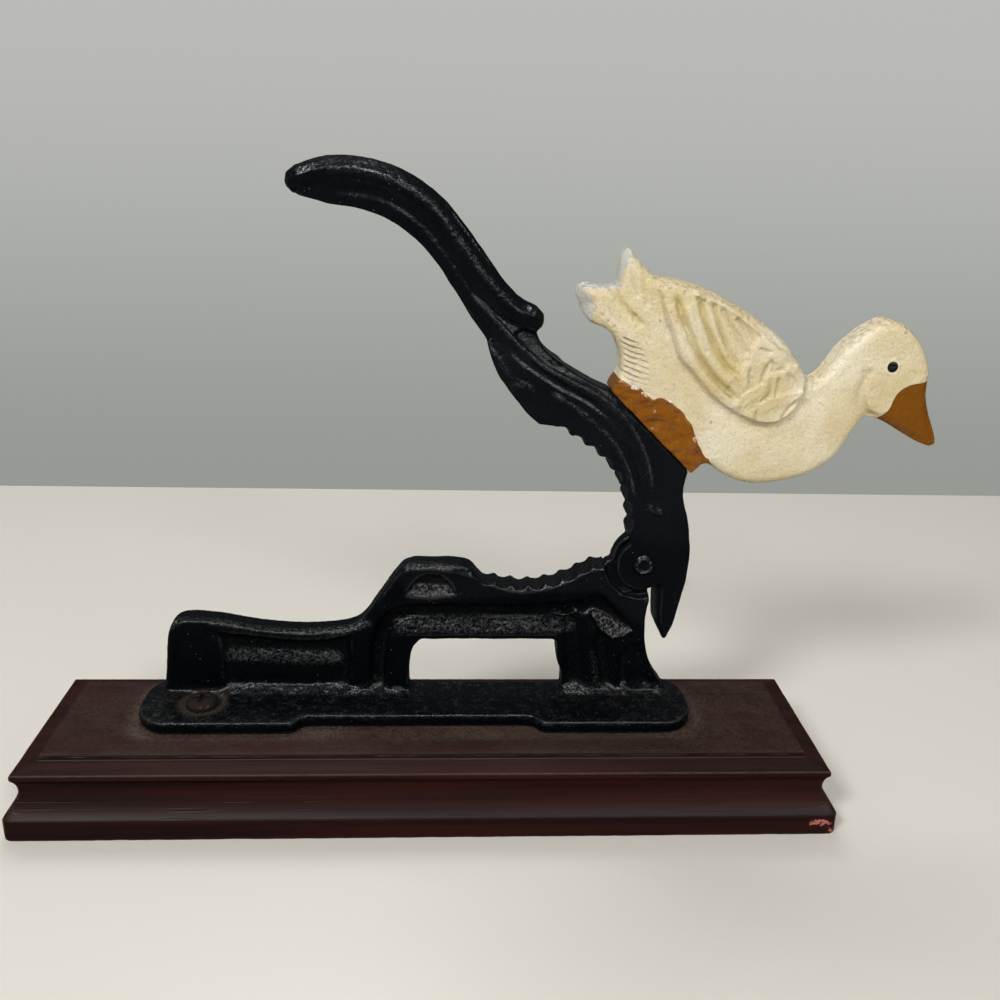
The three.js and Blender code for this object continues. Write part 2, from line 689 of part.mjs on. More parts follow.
function flangeScrew() {
  const x = flangeScrewX();
  const y = flangeScrewY();
  const seat = flangeTop - spotfaceDepth;
  const profile = [
    new THREE.Vector2(0, 0),
    new THREE.Vector2(screwHeadRadius, 0),
    new THREE.Vector2(screwHeadRadius, screwHeadHeight * 0.45),
    new THREE.Vector2(screwHeadRadius * 0.85, screwHeadHeight * 0.8),
    new THREE.Vector2(screwHeadRadius * 0.5, screwHeadHeight),
    new THREE.Vector2(0, screwHeadHeight),
  ];
  const head = new THREE.LatheGeometry(profile, roundSides);
  head.rotateX(Math.PI / 2);
  head.translate(x, y, seat);
  const shank = post(screwShankRadius, screwShankRadius, seat - flangeScrewLength + screwTipLength, seat + overrun, x, y);
  const tip = post(screwShankRadius, screwShankRadius * 0.2, seat - flangeScrewLength,
    seat - flangeScrewLength + screwTipLength, x, y);
  const slotMiddle = seat + screwHeadHeight + overrun - (screwSlotDepth + overrun) / 2;
  const slotHeight = screwSlotDepth + overrun;
  return solid(head).add(shank).add(tip)
    .subtract(block(screwSlotLength, screwSlotWidth, slotHeight, x, y, slotMiddle))
    .subtract(block(screwSlotWidth, screwSlotLength, slotHeight, x, y, slotMiddle));
}

function footScrew() {
  const x = footScrewX();
  const head = post(screwShankRadius, screwHeadRadius, 0, screwHeadHeight, x, wallCentre);
  const shank = post(screwShankRadius, screwShankRadius, overrun, footScrewLength - screwTipLength, x, wallCentre);
  const tip = post(screwShankRadius * 0.2, screwShankRadius, footScrewLength - screwTipLength, footScrewLength,
    x, wallCentre);
  const slotHeight = screwSlotDepth + overrun;
  const slotMiddle = screwSlotDepth - slotHeight / 2;
  return head.add(shank).add(tip)
    .subtract(block(screwSlotLength, screwSlotWidth, slotHeight, x, wallCentre, slotMiddle))
    .subtract(block(screwSlotWidth, screwSlotLength, slotHeight, x, wallCentre, slotMiddle));
}

const nutcracker = new THREE.Group();
nutcracker.add(
  named('plinth', plinth(), 0x35191a, 0.55, 0),
  named('frame_casting', frameCasting(), 0x14161a, 0.45, 0.3),
  named('lever_casting', leverCasting(), 0x14161a, 0.4, 0.3),
  named('goose_figure', gooseFigure(), 0xe2d6b8, 0.5, 0),
  named('pivot_rivet', pivotRivet(), 0x1b1d21, 0.4, 0.6),
  named('flange_screw', flangeScrew(), 0x2c2623, 0.6, 0.6),
  named('foot_screw', footScrew(), 0x6d6a66, 0.4, 0.9),
);

export default nutcracker;
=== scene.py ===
"""Looks of the lever nutcracker press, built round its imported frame.

Metres in the meshes, millimetres in every size written here. +X runs towards the goose's bill,
+Y away from the viewer and +Z up. The lever stands open.
"""

import logging
import math
from dataclasses import dataclass
from enum import Enum
from typing import Callable, Sequence

import bmesh
import bpy
import numpy as np
from mathutils import Matrix, Vector


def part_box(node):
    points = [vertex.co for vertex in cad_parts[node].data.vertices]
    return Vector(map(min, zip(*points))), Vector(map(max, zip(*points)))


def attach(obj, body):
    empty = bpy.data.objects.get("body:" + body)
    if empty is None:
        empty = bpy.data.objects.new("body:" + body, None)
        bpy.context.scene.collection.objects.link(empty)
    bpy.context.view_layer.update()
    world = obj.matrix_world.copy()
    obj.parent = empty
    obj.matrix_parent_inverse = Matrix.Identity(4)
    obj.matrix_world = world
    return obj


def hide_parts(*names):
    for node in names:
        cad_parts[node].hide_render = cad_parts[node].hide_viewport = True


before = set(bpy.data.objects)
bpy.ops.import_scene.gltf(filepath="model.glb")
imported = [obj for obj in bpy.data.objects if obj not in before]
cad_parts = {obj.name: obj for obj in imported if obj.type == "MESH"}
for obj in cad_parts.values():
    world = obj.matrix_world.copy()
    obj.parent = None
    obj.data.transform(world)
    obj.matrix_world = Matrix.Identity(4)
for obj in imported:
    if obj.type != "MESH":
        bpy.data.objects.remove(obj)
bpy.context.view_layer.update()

MM = 0.001
PER_METRE = 1000.0
log = logging.getLogger("nutcracker")

Point = tuple[float, float]
Triple = tuple[float, float, float]
Colour = tuple[float, float, float, float]
Path = Sequence[Point]
Array = np.ndarray
Socket = bpy.types.NodeSocket


class Face(Enum):
    """Which broad side of a casting a piece of relief is worked into."""

    FRONT = -1
    BACK = 1


# Plain arithmetic on lines and fields


def flowing(path: Path, gap: float = 0.6, closed: bool = False) -> Array:
    """A smooth line through chosen points.

    Args:
        path: the points to pass through, as (x, z).
        gap: about how far apart the returned points lie.
        closed: whether the line returns to its first point.

    Returns:
        The line's points, one row each.
    """
    points = np.array(path, dtype=float)
    if closed:
        padded = np.vstack([points[-1], points, points[0], points[1]])
    else:
        padded = np.vstack([2 * points[0] - points[1], points, 2 * points[-1] - points[-2]])
    out = []
    for a, b, c, d in zip(padded, padded[1:], padded[2:], padded[3:]):
        steps = max(1, int(np.linalg.norm(c - b) / gap))
        for t in np.arange(steps) / steps:
            out.append(0.5 * (2 * b + (c - a) * t + (2 * a - 5 * b + 4 * c - d) * t**2
                              + (3 * b - a - 3 * c + d) * t**3))
    if not closed:
        out.append(points[-1])
    return np.array(out)


def eased(value: Array, low: float, high: float) -> Array:
    """A soft step from 0 at low to 1 at high.

    Args:
        value: what is stepped.
        low: where the step starts.
        high: where it ends; it may be the smaller of the two.

    Returns:
        The step at every value.
    """
    share = np.clip((value - low) / (high - low), 0, 1)
    return share * share * (3 - 2 * share)


def reach(spots: Array, line: Array) -> tuple[Array, Array, Array]:
    """How far spots lie from a line.

    Args:
        spots: the spots, as rows of (x, z).
        line: the line's points, as rows of (x, z).

    Returns:
        The distance, the side (positive to the left of the way the line runs) and the share of
        the line at which each spot is nearest.
    """
    best = np.full(len(spots), 1e9)
    side = np.zeros(len(spots))
    share = np.zeros(len(spots))
    lengths = np.linalg.norm(np.diff(line, axis=0), axis=1)
    total = lengths.sum()
    walked = 0.0
    for start, end, length in zip(line, line[1:], lengths):
        if length <= 0:
            continue
        along = (end - start) / length
        offset = spots - start
        step = np.clip(offset @ along, 0, length)
        gap = np.hypot(offset[:, 0] - along[0] * step, offset[:, 1] - along[1] * step)
        nearer = gap < best
        best[nearer] = gap[nearer]
        side[nearer] = (along[0] * offset[:, 1] - along[1] * offset[:, 0])[nearer]
        share[nearer] = (walked + step[nearer]) / total
        walked += length
    return best, np.sign(side), share


def inside(spots: Array, ring: Array) -> Array:
    """How far spots lie inside a closed ring.

    Args:
        spots: the spots, as rows of (x, z).
        ring: the ring's points, not repeated at the end.

    Returns:
        The distance to the ring, negative outside it.
    """
    looped = np.vstack([ring, ring[:1]])
    gap = reach(spots, looped)[0]
    held = np.zeros(len(spots), dtype=bool)
    x, z = spots[:, 0], spots[:, 1]
    for (x0, z0), (x1, z1) in zip(looped, looped[1:]):
        if z0 == z1:
            continue
        crosses = (z0 > z) != (z1 > z)
        held ^= crosses & (x < (x1 - x0) * (z - z0) / (z1 - z0) + x0)
    return np.where(held, gap, -gap)


@dataclass(frozen=True)
class Mottle:
    """A seeded field of soft random values through space."""

    seed: int
    size: float
    octaves: int = 1

    def __call__(self, place: Array) -> Array:
        """The field's values.

        Args:
            place: points in millimetres, as rows of (x, y, z).

        Returns:
            One value a point, about -1 to 1.
        """
        cells = 32
        table = np.random.default_rng(self.seed).random((cells, cells, cells)) * 2 - 1
        total = np.zeros(len(place))
        weight_sum = 0.0
        for octave in range(self.octaves):
            weight = 0.5**octave
            spot = place / (self.size * weight) + 7.3 * octave
            low = np.floor(spot).astype(int)
            part = spot - low
            part = part * part * (3 - 2 * part)
            value = np.zeros(len(place))
            for corner in range(8):
                step = np.array([corner & 1, corner >> 1 & 1, corner >> 2 & 1])
                share = np.prod(np.where(step, part, 1 - part), axis=1)
                value += share * table[tuple(((low + step) % cells).T)]
            total += weight * value
            weight_sum += weight
        return total / weight_sum


Lumps = tuple[tuple[Mottle, float], ...]


def lumpy(place: Array, lumps: Lumps) -> Array:
    """The heights of several fields together, each with its own strength."""
    return sum((field(place) * strength for field, strength in lumps), np.zeros(len(place)))


# Surfaces under the tools


class Skin:
    """A piece's surface as arrays of millimetres, while relief is worked into it."""

    def __init__(self, mesh: bpy.types.Mesh) -> None:
        """Reads a mesh.

        Args:
            mesh: the finished base form, in metres.
        """
        self.mesh = mesh
        flat = np.empty(len(mesh.vertices) * 3)
        mesh.vertices.foreach_get("co", flat)
        self.place = flat.reshape(-1, 3) * PER_METRE
        pairs = np.empty(len(mesh.edges) * 2, dtype=np.int64)
        mesh.edges.foreach_get("vertices", pairs)
        self.pairs = pairs.reshape(-1, 2)
        self.marks: dict[str, Array] = {}

    @property
    def flat(self) -> Array:
        """The points as rows of (x, z)."""
        return self.place[:, [0, 2]]

    def write(self) -> None:
        """Puts the points and the marks back into the mesh."""
        self.mesh.vertices.foreach_set("co", (self.place / PER_METRE).ravel())
        self.mesh.update()
        for name, values in self.marks.items():
            kept = self.mesh.attributes.get(name) or self.mesh.attributes.new(name, "FLOAT", "POINT")
            kept.data.foreach_set("value", values.astype(np.float32))

    def normals(self) -> Array:
        """The outward direction at every point, after the points are put into the mesh.

        Returns:
            One unit row a point.
        """
        self.write()
        flat = np.empty(len(self.place) * 3)
        self.mesh.vertex_normals.foreach_get("vector", flat)
        return flat.reshape(-1, 3)

    def relaxed(self, times: int, share: float = 0.5) -> Array:
        """The points after each has moved some times towards the middle of its neighbours.

        Args:
            times: how many moves.
            share: how far along each move goes.

        Returns:
            The moved points. The skin keeps its own.
        """
        place = self.place.copy()
        a, b = self.pairs.T
        count = np.bincount(self.pairs.ravel(), minlength=len(place))[:, None]
        for _ in range(times):
            near = np.stack([np.bincount(a, place[b, axis], len(place))
                             + np.bincount(b, place[a, axis], len(place)) for axis in range(3)], axis=1)
            place += share * (near / count - place)
        return place

    def relax(self, times: int, share: float = 0.5) -> None:
        """Softens the skin itself, by the same moves as relaxed."""
        self.place = self.relaxed(times, share)

    def soften(self, amount: Array, times: int) -> None:
        """Softens the skin by an amount that differs from point to point.

        Args:
            amount: how much of the moves each point takes; a negative amount sharpens.
            times: how many moves of relaxed.
        """
        self.place += amount[:, None] * (self.relaxed(times) - self.place)

    def near(self, path: Path, width: float, full: float) -> Array:
        """How near each point lies to a line.

        Args:
            path: the line's (x, z) points.
            width: the distance at which nothing is left.
            full: the share of the width up to which the nearness is whole.

        Returns:
            The nearness, 0 to 1.
        """
        return eased(reach(self.flat, flowing(path))[0], width, width * full)

    def facing(self, face: Face) -> Array:
        """How squarely each point looks to one broad side, 0 to 1."""
        return eased(self.normals()[:, 1] * face.value, 0.25, 0.8)

    def sharpen(self, path: Path, width: float, amount: float) -> None:
        """Brings out the teeth along a bite, which the even skin has dulled.

        Args:
            path: the bite's line of (x, z) points.
            width: how far from the line the work reaches.
            amount: how strongly the fine form is raised.
        """
        self.soften(-amount * self.near(path, width, 0.6), 5)

    def carve(self, height: Array, faces: Sequence[Face] = (Face.FRONT, Face.BACK)) -> None:
        """Raises the broad sides.

        Args:
            height: how far each point stands out; negative sinks it.
            faces: the sides that are worked.
        """
        for face in faces:
            self.place[:, 1] += face.value * height * self.facing(face)

    def swell(self, height: Array) -> None:
        """Moves every point along its own outward direction by height."""
        self.place += self.normals() * height[:, None]

    def mark_wear(self, broad: int = 12, narrow: int = 3) -> None:
        """Marks edges and hollows from how the skin bends, for the finishes to read.

        Args:
            broad: how many moves of relaxed tell a wide bend.
            narrow: how many tell a narrow one.
        """
        out = self.normals()
        bend = np.einsum("ij,ij->i", self.place - self.relaxed(broad), out)
        fine = np.einsum("ij,ij->i", self.place - self.relaxed(narrow), out)
        self.marks["edge"] = np.clip(bend * 3 + fine * 6, 0, 1)
        self.marks["hollow"] = np.clip(-bend * 3, 0, 1)


def boxed(node: str) -> tuple[Array, Array]:
    """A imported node's lowest and highest corners, in millimetres."""
    low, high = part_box(node)
    return np.array(low) * PER_METRE, np.array(high) * PER_METRE


def copied_node(node: str) -> bmesh.types.BMesh:
    """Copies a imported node's mesh and merges its doubles.

    Args:
        node: the node's name.

    Returns:
        The copy, in metres.
    """
    form = bmesh.new()
    form.from_mesh(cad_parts[node].data)
    bmesh.ops.remove_doubles(form, verts=form.verts, dist=1e-7)
    return form


def remeshed(form: bmesh.types.BMesh, name: str, voxel: float) -> Skin:
    """An even skin of small faces over a closed form.

    Args:
        form: the closed form; it is freed.
        name: the new mesh's name.
        voxel: the faces' size in millimetres.

    Returns:
        The skin.
    """
    rough = bpy.data.meshes.new(name + "_rough")
    form.to_mesh(rough)
    form.free()
    holder = bpy.data.objects.new(name + "_rough", rough)
    bpy.context.collection.objects.link(holder)
    even = holder.modifiers.new("even", "REMESH")
    even.mode = "VOXEL"
    even.voxel_size = voxel * MM
    even.adaptivity = 0
    graph = bpy.context.evaluated_depsgraph_get()
    mesh = bpy.data.meshes.new_from_object(holder.evaluated_get(graph))
    mesh.name = name
    bpy.data.objects.remove(holder)
    bpy.data.meshes.remove(rough)
    return Skin(mesh)


def finished_piece(skin: Skin, name: str, node: str, body: str,
                   material: bpy.types.Material) -> bpy.types.Object:
    """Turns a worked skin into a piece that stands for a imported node.

    Args:
        skin: the worked skin.
        name: the piece's name.
        node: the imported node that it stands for.
        body: the body that it rides on.
        material: its finish.

    Returns:
        The piece.
    """
    skin.write()
    mesh = skin.mesh
    mesh.materials.clear()
    mesh.materials.append(material)
    mesh.shade_smooth()
    piece = bpy.data.objects.new(name, mesh)
    bpy.context.collection.objects.link(piece)
    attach(piece, body)
    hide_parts(node)
    log.info("%s: %d faces", name, len(mesh.polygons))
    return piece


@dataclass(frozen=True)
class Stroke:
    """A ridge, or with a negative height a groove, along a line of (x, z) points.

    Its width is given on the left of the way the line runs and, if other, on the right. The crest
    may be level for a while, and the ends may fade.
    """

    path: Path
    height: float
    width: float
    other: float = 0.0
    level: float = 0.0
    fade: float = 0.0

    def on(self, spots: Array) -> Array:
        """The stroke's height.

        Args:
            spots: rows of (x, z).

        Returns:
            The height at each spot.
        """
        line = flowing(self.path)
        margin = 3 * max(self.width, self.other) + self.level
        close = np.all((spots > line.min(axis=0) - margin) & (spots < line.max(axis=0) + margin), axis=1)
        height = np.zeros(len(spots))
        gap, side, share = reach(spots[close], line)
        width = np.where(side < 0, self.other or self.width, self.width)
        value = self.height * np.exp(-(np.clip(gap - self.level, 0, None) / width) ** 2)
        if self.fade:
            value *= eased(np.minimum(share, 1 - share), 0, self.fade)
        height[close] = value
        return height


@dataclass(frozen=True)
class Panel:
    """A field inside a ring of (x, z) corners, raised or sunk, with a soft border."""

    ring: Path
    height: float
    edge: float = 0.6
    far_height: float | None = None
    far_along: Point = (0.0, 1.0)

    def on(self, spots: Array) -> Array:
        """The panel's height.

        Args:
            spots: rows of (x, z).

        Returns:
            The height at each spot; it runs from height to far_height along far_along.
        """
        ring = np.array(self.ring, dtype=float)
        close = np.all((spots > ring.min(axis=0)) & (spots < ring.max(axis=0)), axis=1)
        height = np.zeros(len(spots))
        value = eased(inside(spots[close], ring), 0, self.edge)
        if self.far_height is None:
            height[close] = self.height * value
            return height
        along = ring @ np.array(self.far_along)
        share = (spots[close] @ np.array(self.far_along) - along.min()) / (along.max() - along.min())
        height[close] = value * (self.height + (self.far_height - self.height) * share)
        return height


@dataclass(frozen=True)
class Dot:
    """A small round spot."""

    x: float
    z: float
    size: float

    def gap(self, spots: Array) -> Array:
        """How far each spot lies from the dot's middle."""
        return np.linalg.norm(spots - np.array([self.x, self.z]), axis=1)

    def on(self, spots: Array) -> Array:
        """The dot's share at each spot, 0 to 1."""
        return np.exp(-(self.gap(spots) / self.size) ** 2)


def summed(forms: Sequence[Stroke | Panel], spots: Array) -> Array:
    """The heights of several strokes and panels together."""
    return sum((form.on(spots) for form in forms), np.zeros(len(spots)))


# Shader building


class Board:
    """A shader tree, with short ways to add the nodes that the finishes are made of."""

    def __init__(self, tree: bpy.types.NodeTree) -> None:
        """Takes over a tree.

        Args:
            tree: the tree that is built up.
        """
        self.tree = tree

    def feed(self, node: bpy.types.Node, inputs: dict) -> None:
        """Sets a node's inputs.

        Args:
            node: the node.
            inputs: each input's name or number, with a value or the signal that feeds it.
        """
        for key, value in inputs.items():
            if isinstance(value, Signal):
                value = value.socket
            if isinstance(value, Socket):
                self.tree.links.new(value, node.inputs[key])
            else:
                node.inputs[key].default_value = value

    def add(self, kind: str, inputs: dict | None = None, **settings: object) -> bpy.types.Node:
        """Adds a shader node.

        Args:
            kind: its type, without the ShaderNode in front.
            inputs: its inputs, as for feed.
            settings: the node's own properties.

        Returns:
            The node.
        """
        node = self.tree.nodes.new("ShaderNode" + kind)
        for name, value in settings.items():
            setattr(node, name, value)
        self.feed(node, inputs or {})
        return node

    def signal(self, kind: str, output: int | str, inputs: dict | None = None,
               **settings: object) -> "Signal":
        """Adds a shader node and takes one of its outputs.

        Args:
            kind: the node's type, as for add.
            output: the output's name or number.
            inputs: the node's inputs, as for feed.
            settings: the node's own properties.

        Returns:
            The output.
        """
        return Signal(self, self.add(kind, inputs, **settings).outputs[output])

    def maths(self, operation: str, *values: "Signal | float") -> "Signal":
        """One arithmetic step."""
        return self.signal("Math", 0, dict(enumerate(values)), operation=operation)

    def noise(self, vector: "Signal", scale: "Signal | float", detail: float, rough: float) -> "Signal":
        """A noise texture's value."""
        return self.signal("TexNoise", 0, {"Vector": vector, "Scale": scale, "Detail": detail,
                                           "Roughness": rough})

    def stretched(self, vector: "Signal", scale: Triple, turn: Triple = (0.0, 0.0, 0.0)) -> "Signal":
        """Coordinates stretched and turned."""
        return self.signal("Mapping", 0, {"Vector": vector, "Scale": scale, "Rotation": turn})

    def part(self, vector: "Signal", axis: int) -> "Signal":
        """One part of a vector, by its axis number."""
        return self.signal("SeparateXYZ", axis, {0: vector})

    def upward(self) -> "Signal":
        """How far the surface faces up."""
        return self.part(self.signal("TexCoord", "Normal"), 2)

    def mark(self, name: str) -> "Signal":
        """One of the skin's marks."""
        return self.signal("Attribute", "Fac", attribute_name=name)

    def layered(self, base: "Colour | Signal",
                *layers: "tuple[Signal, Colour | Signal]") -> "Signal":
        """Colours laid over each other in order.

        Args:
            base: the lowest colour.
            layers: for each colour above it, the share that covers and the colour.

        Returns:
            The colour that is seen.
        """
        for share, over in layers:
            base = self.signal("Mix", 2, {0: share, 6: base, 7: over}, data_type="RGBA")
        return base


@dataclass(frozen=True)
class Signal:
    """A value on a board. Arithmetic with it adds the nodes that do the sum."""

    board: Board
    socket: Socket

    def __add__(self, other: "Signal | float") -> "Signal":
        """The sum."""
        return self.board.maths("ADD", self, other)

    def __sub__(self, other: "Signal | float") -> "Signal":
        """The difference."""
        return self.board.maths("SUBTRACT", self, other)

    def __rsub__(self, other: float) -> "Signal":
        """What is left of a number."""
        return self.board.maths("SUBTRACT", other, self)

    def __mul__(self, other: "Signal | float") -> "Signal":
        """The product."""
        return self.board.maths("MULTIPLY", self, other)

    def clamped(self) -> "Signal":
        """The same sum, held between 0 and 1 by its own node."""
        self.socket.node.use_clamp = True
        return self

    def spread(self, low: float, high: float, to_low: float = 0.0, to_high: float = 1.0) -> "Signal":
        """The value spread softly from one range to another."""
        return self.board.signal("MapRange", 0, {0: self, 1: low, 2: high, 3: to_low, 4: to_high},
                                 interpolation_type="SMOOTHSTEP")


Signals = dict[str, Signal]


class Effect(Enum):
    """The shared effects that finishes are made from."""

    EDGE_WEAR = "edge wear"
    SETTLED_DUST = "settled dust"
    CAST_GRAIN = "cast grain"
    SPECKS = "specks"
    SCRATCHES = "scratches"
    WOOD_GRAIN = "wood grain"


class EffectShop:
    """Builds each shared effect once, as a shader node group with named inputs and outputs."""

    inputs: dict[Effect, dict[str, float | None]] = {
        Effect.EDGE_WEAR: {"Edge": 0.0, "Vector": None, "Scale": 400.0, "Amount": 0.5},
        Effect.SETTLED_DUST: {"Hollow": 0.0, "Vector": None, "Upward": 0.0, "Amount": 0.5},
        Effect.CAST_GRAIN: {"Vector": None, "Scale": 900.0, "Pitting": 0.4},
        Effect.SPECKS: {"Vector": None, "Scale": 300.0, "Share": 0.1},
        Effect.SCRATCHES: {"Vector": None, "Scale": 100.0, "Share": 0.3},
        Effect.WOOD_GRAIN: {"Vector": None, "Fineness": 1.0},
    }

    def __init__(self) -> None:
        """Builds every effect. An input without a start value takes coordinates."""
        makers: dict[Effect, Callable[[Board, Signals], Signals]] = {
            Effect.EDGE_WEAR: self.edge_wear,
            Effect.SETTLED_DUST: self.settled_dust,
            Effect.CAST_GRAIN: self.cast_grain,
            Effect.SPECKS: self.specks,
            Effect.SCRATCHES: self.scratches,
            Effect.WOOD_GRAIN: self.wood_grain,
        }
        self.trees: dict[Effect, bpy.types.NodeTree] = {}
        for effect, maker in makers.items():
            tree = bpy.data.node_groups.new(effect.value, "ShaderNodeTree")
            for name, start in self.inputs[effect].items():
                kind = "NodeSocketVector" if start is None else "NodeSocketFloat"
                socket = tree.interface.new_socket(name, in_out="INPUT", socket_type=kind)
                if start is not None:
                    socket.default_value = start
            entry = tree.nodes.new("NodeGroupInput")
            board = Board(tree)
            made = maker(board, {name: Signal(board, entry.outputs[name]) for name in self.inputs[effect]})
            for name in made:
                tree.interface.new_socket(name, in_out="OUTPUT", socket_type="NodeSocketFloat")
            board.feed(tree.nodes.new("NodeGroupOutput"), made)
            self.trees[effect] = tree

    def use(self, board: Board, effect: Effect, **values: object) -> Signals:
        """Places an effect in a material.

        Args:
            board: the material's board.
            effect: which effect.
            values: its inputs, as numbers or signals.

        Returns:
            Its outputs by name.
        """
        placed = board.add("Group", values, node_tree=self.trees[effect])
        return {socket.name: Signal(board, socket) for socket in placed.outputs}

    @staticmethod
    def edge_wear(board: Board, given: Signals) -> Signals:
        """Wear on proud edges, broken up by noise.

        Args:
            board: the group's board.
            given: the group's inputs.

        Returns:
            The group's outputs.
        """
        broken = board.noise(given["Vector"], given["Scale"], 5.0, 0.7)
        lifted = given["Edge"] * (broken + 0.35)
        return {"Mask": ((lifted - (1.0 - given["Amount"])) * 4.0).clamped()}

    @staticmethod
    def settled_dust(board: Board, given: Signals) -> Signals:
        """Dust that gathers in hollows and on upward faces.

        Args:
            board: the group's board.
            given: the group's inputs.

        Returns:
            The group's outputs.
        """
        cloud = board.noise(given["Vector"], 180.0, 6.0, 0.7)
        held = given["Hollow"] + given["Upward"] * 0.6
        return {"Mask": (held * cloud.spread(0.3, 0.75) * given["Amount"]).clamped()}

    @staticmethod
    def cast_grain(board: Board, given: Signals) -> Signals:
        """The sandy skin of a casting under paint.

        Args:
            board: the group's board.
            given: the group's inputs.

        Returns:
            The group's outputs.
        """
        sand = board.noise(given["Vector"], given["Scale"], 4.0, 0.65)
        cells = board.signal("TexVoronoi", "Distance", {"Vector": given["Vector"], "Scale": given["Scale"]},
                             feature="SMOOTH_F1")
        return {"Height": sand - cells.spread(0.5, 0.1) * given["Pitting"], "Grain": sand}

    @staticmethod
    def specks(board: Board, given: Signals) -> Signals:
        """Scattered small spots.

        Args:
            board: the group's board.
            given: the group's inputs.

        Returns:
            The group's outputs.
        """
        cells = board.add("TexVoronoi", {"Vector": given["Vector"], "Scale": given["Scale"]}).outputs
        chance = board.signal("SeparateColor", 0, {0: cells["Color"]})
        chosen = board.maths("LESS_THAN", chance, given["Share"])
        return {"Mask": chosen * Signal(board, cells["Distance"]).spread(0.34, 0.2)}

    @staticmethod
    def scratches(board: Board, given: Signals) -> Signals:
        """Fine hairlines that come and go.

        Args:
            board: the group's board.
            given: the group's inputs.

        Returns:
            The group's outputs.
        """
        line = board.noise(given["Vector"], given["Scale"], 1.0, 0.3)
        thin = board.maths("ABSOLUTE", line - 0.5).spread(0.006, 0.0)
        patches = board.noise(given["Vector"], 45.0, 2.0, 0.5)
        return {"Mask": thin * board.maths("GREATER_THAN", patches, 0.75 - given["Share"] * 0.4)}

    @staticmethod
    def wood_grain(board: Board, given: Signals) -> Signals:
        """Straight grain along X, with pores.

        Args:
            board: the group's board.
            given: the group's inputs.

        Returns:
            The group's outputs.
        """
        vector, fineness = given["Vector"], given["Fineness"]
        lines = board.noise(board.stretched(vector, (14.0, 420.0, 420.0)), fineness, 4.0, 0.6)
        bands = board.noise(board.stretched(vector, (5.0, 90.0, 110.0)), fineness, 3.0, 0.5)
        dashes = board.noise(board.stretched(vector, (60.0, 1500.0, 1500.0)), fineness, 1.0, 0.4)
        streak = lines * 0.55 + bands * 0.45
        pores = dashes.spread(0.36, 0.24)
        return {"Streak": streak, "Pores": pores, "Height": streak - pores * 0.6}


shop = EffectShop()


def linear(red: int, green: int, blue: int) -> Colour:
    """A colour as seen on a screen turned into the shader's light values.

    Args:
        red: its red, 0 to 255, as for green and blue.
        green: its green.
        blue: its blue.

    Returns:
        The colour, full in its fourth part.
    """
    def one(value: int) -> float:
        """One part's light value."""
        share = value / 255
        return share / 12.92 if share <= 0.04045 else ((share + 0.055) / 1.055) ** 2.4
    return one(red), one(green), one(blue), 1.0


class Finish:
    """What every finish shares: how its material is opened and its surface bumped."""

    @staticmethod
    def start(name: str) -> tuple[bpy.types.Material, Board, bpy.types.Node, Signal]:
        """Opens a material.

        Args:
            name: the material's name.

        Returns:
            The material, its board, its shader and its Object coordinates.
        """
        material = bpy.data.materials.new(name)
        material.use_nodes = True
        board = Board(material.node_tree)
        return material, board, board.tree.nodes["Principled BSDF"], board.signal("TexCoord", "Object")

    @staticmethod
    def bump(board: Board, shader: bpy.types.Node, height: Signal, distance: float) -> None:
        """Bumps the surface by a height, with its distance in millimetres."""
        normal = board.signal("Bump", 0, {"Height": height, "Distance": distance * MM, "Strength": 1.0})
        board.feed(shader, {"Normal": normal})


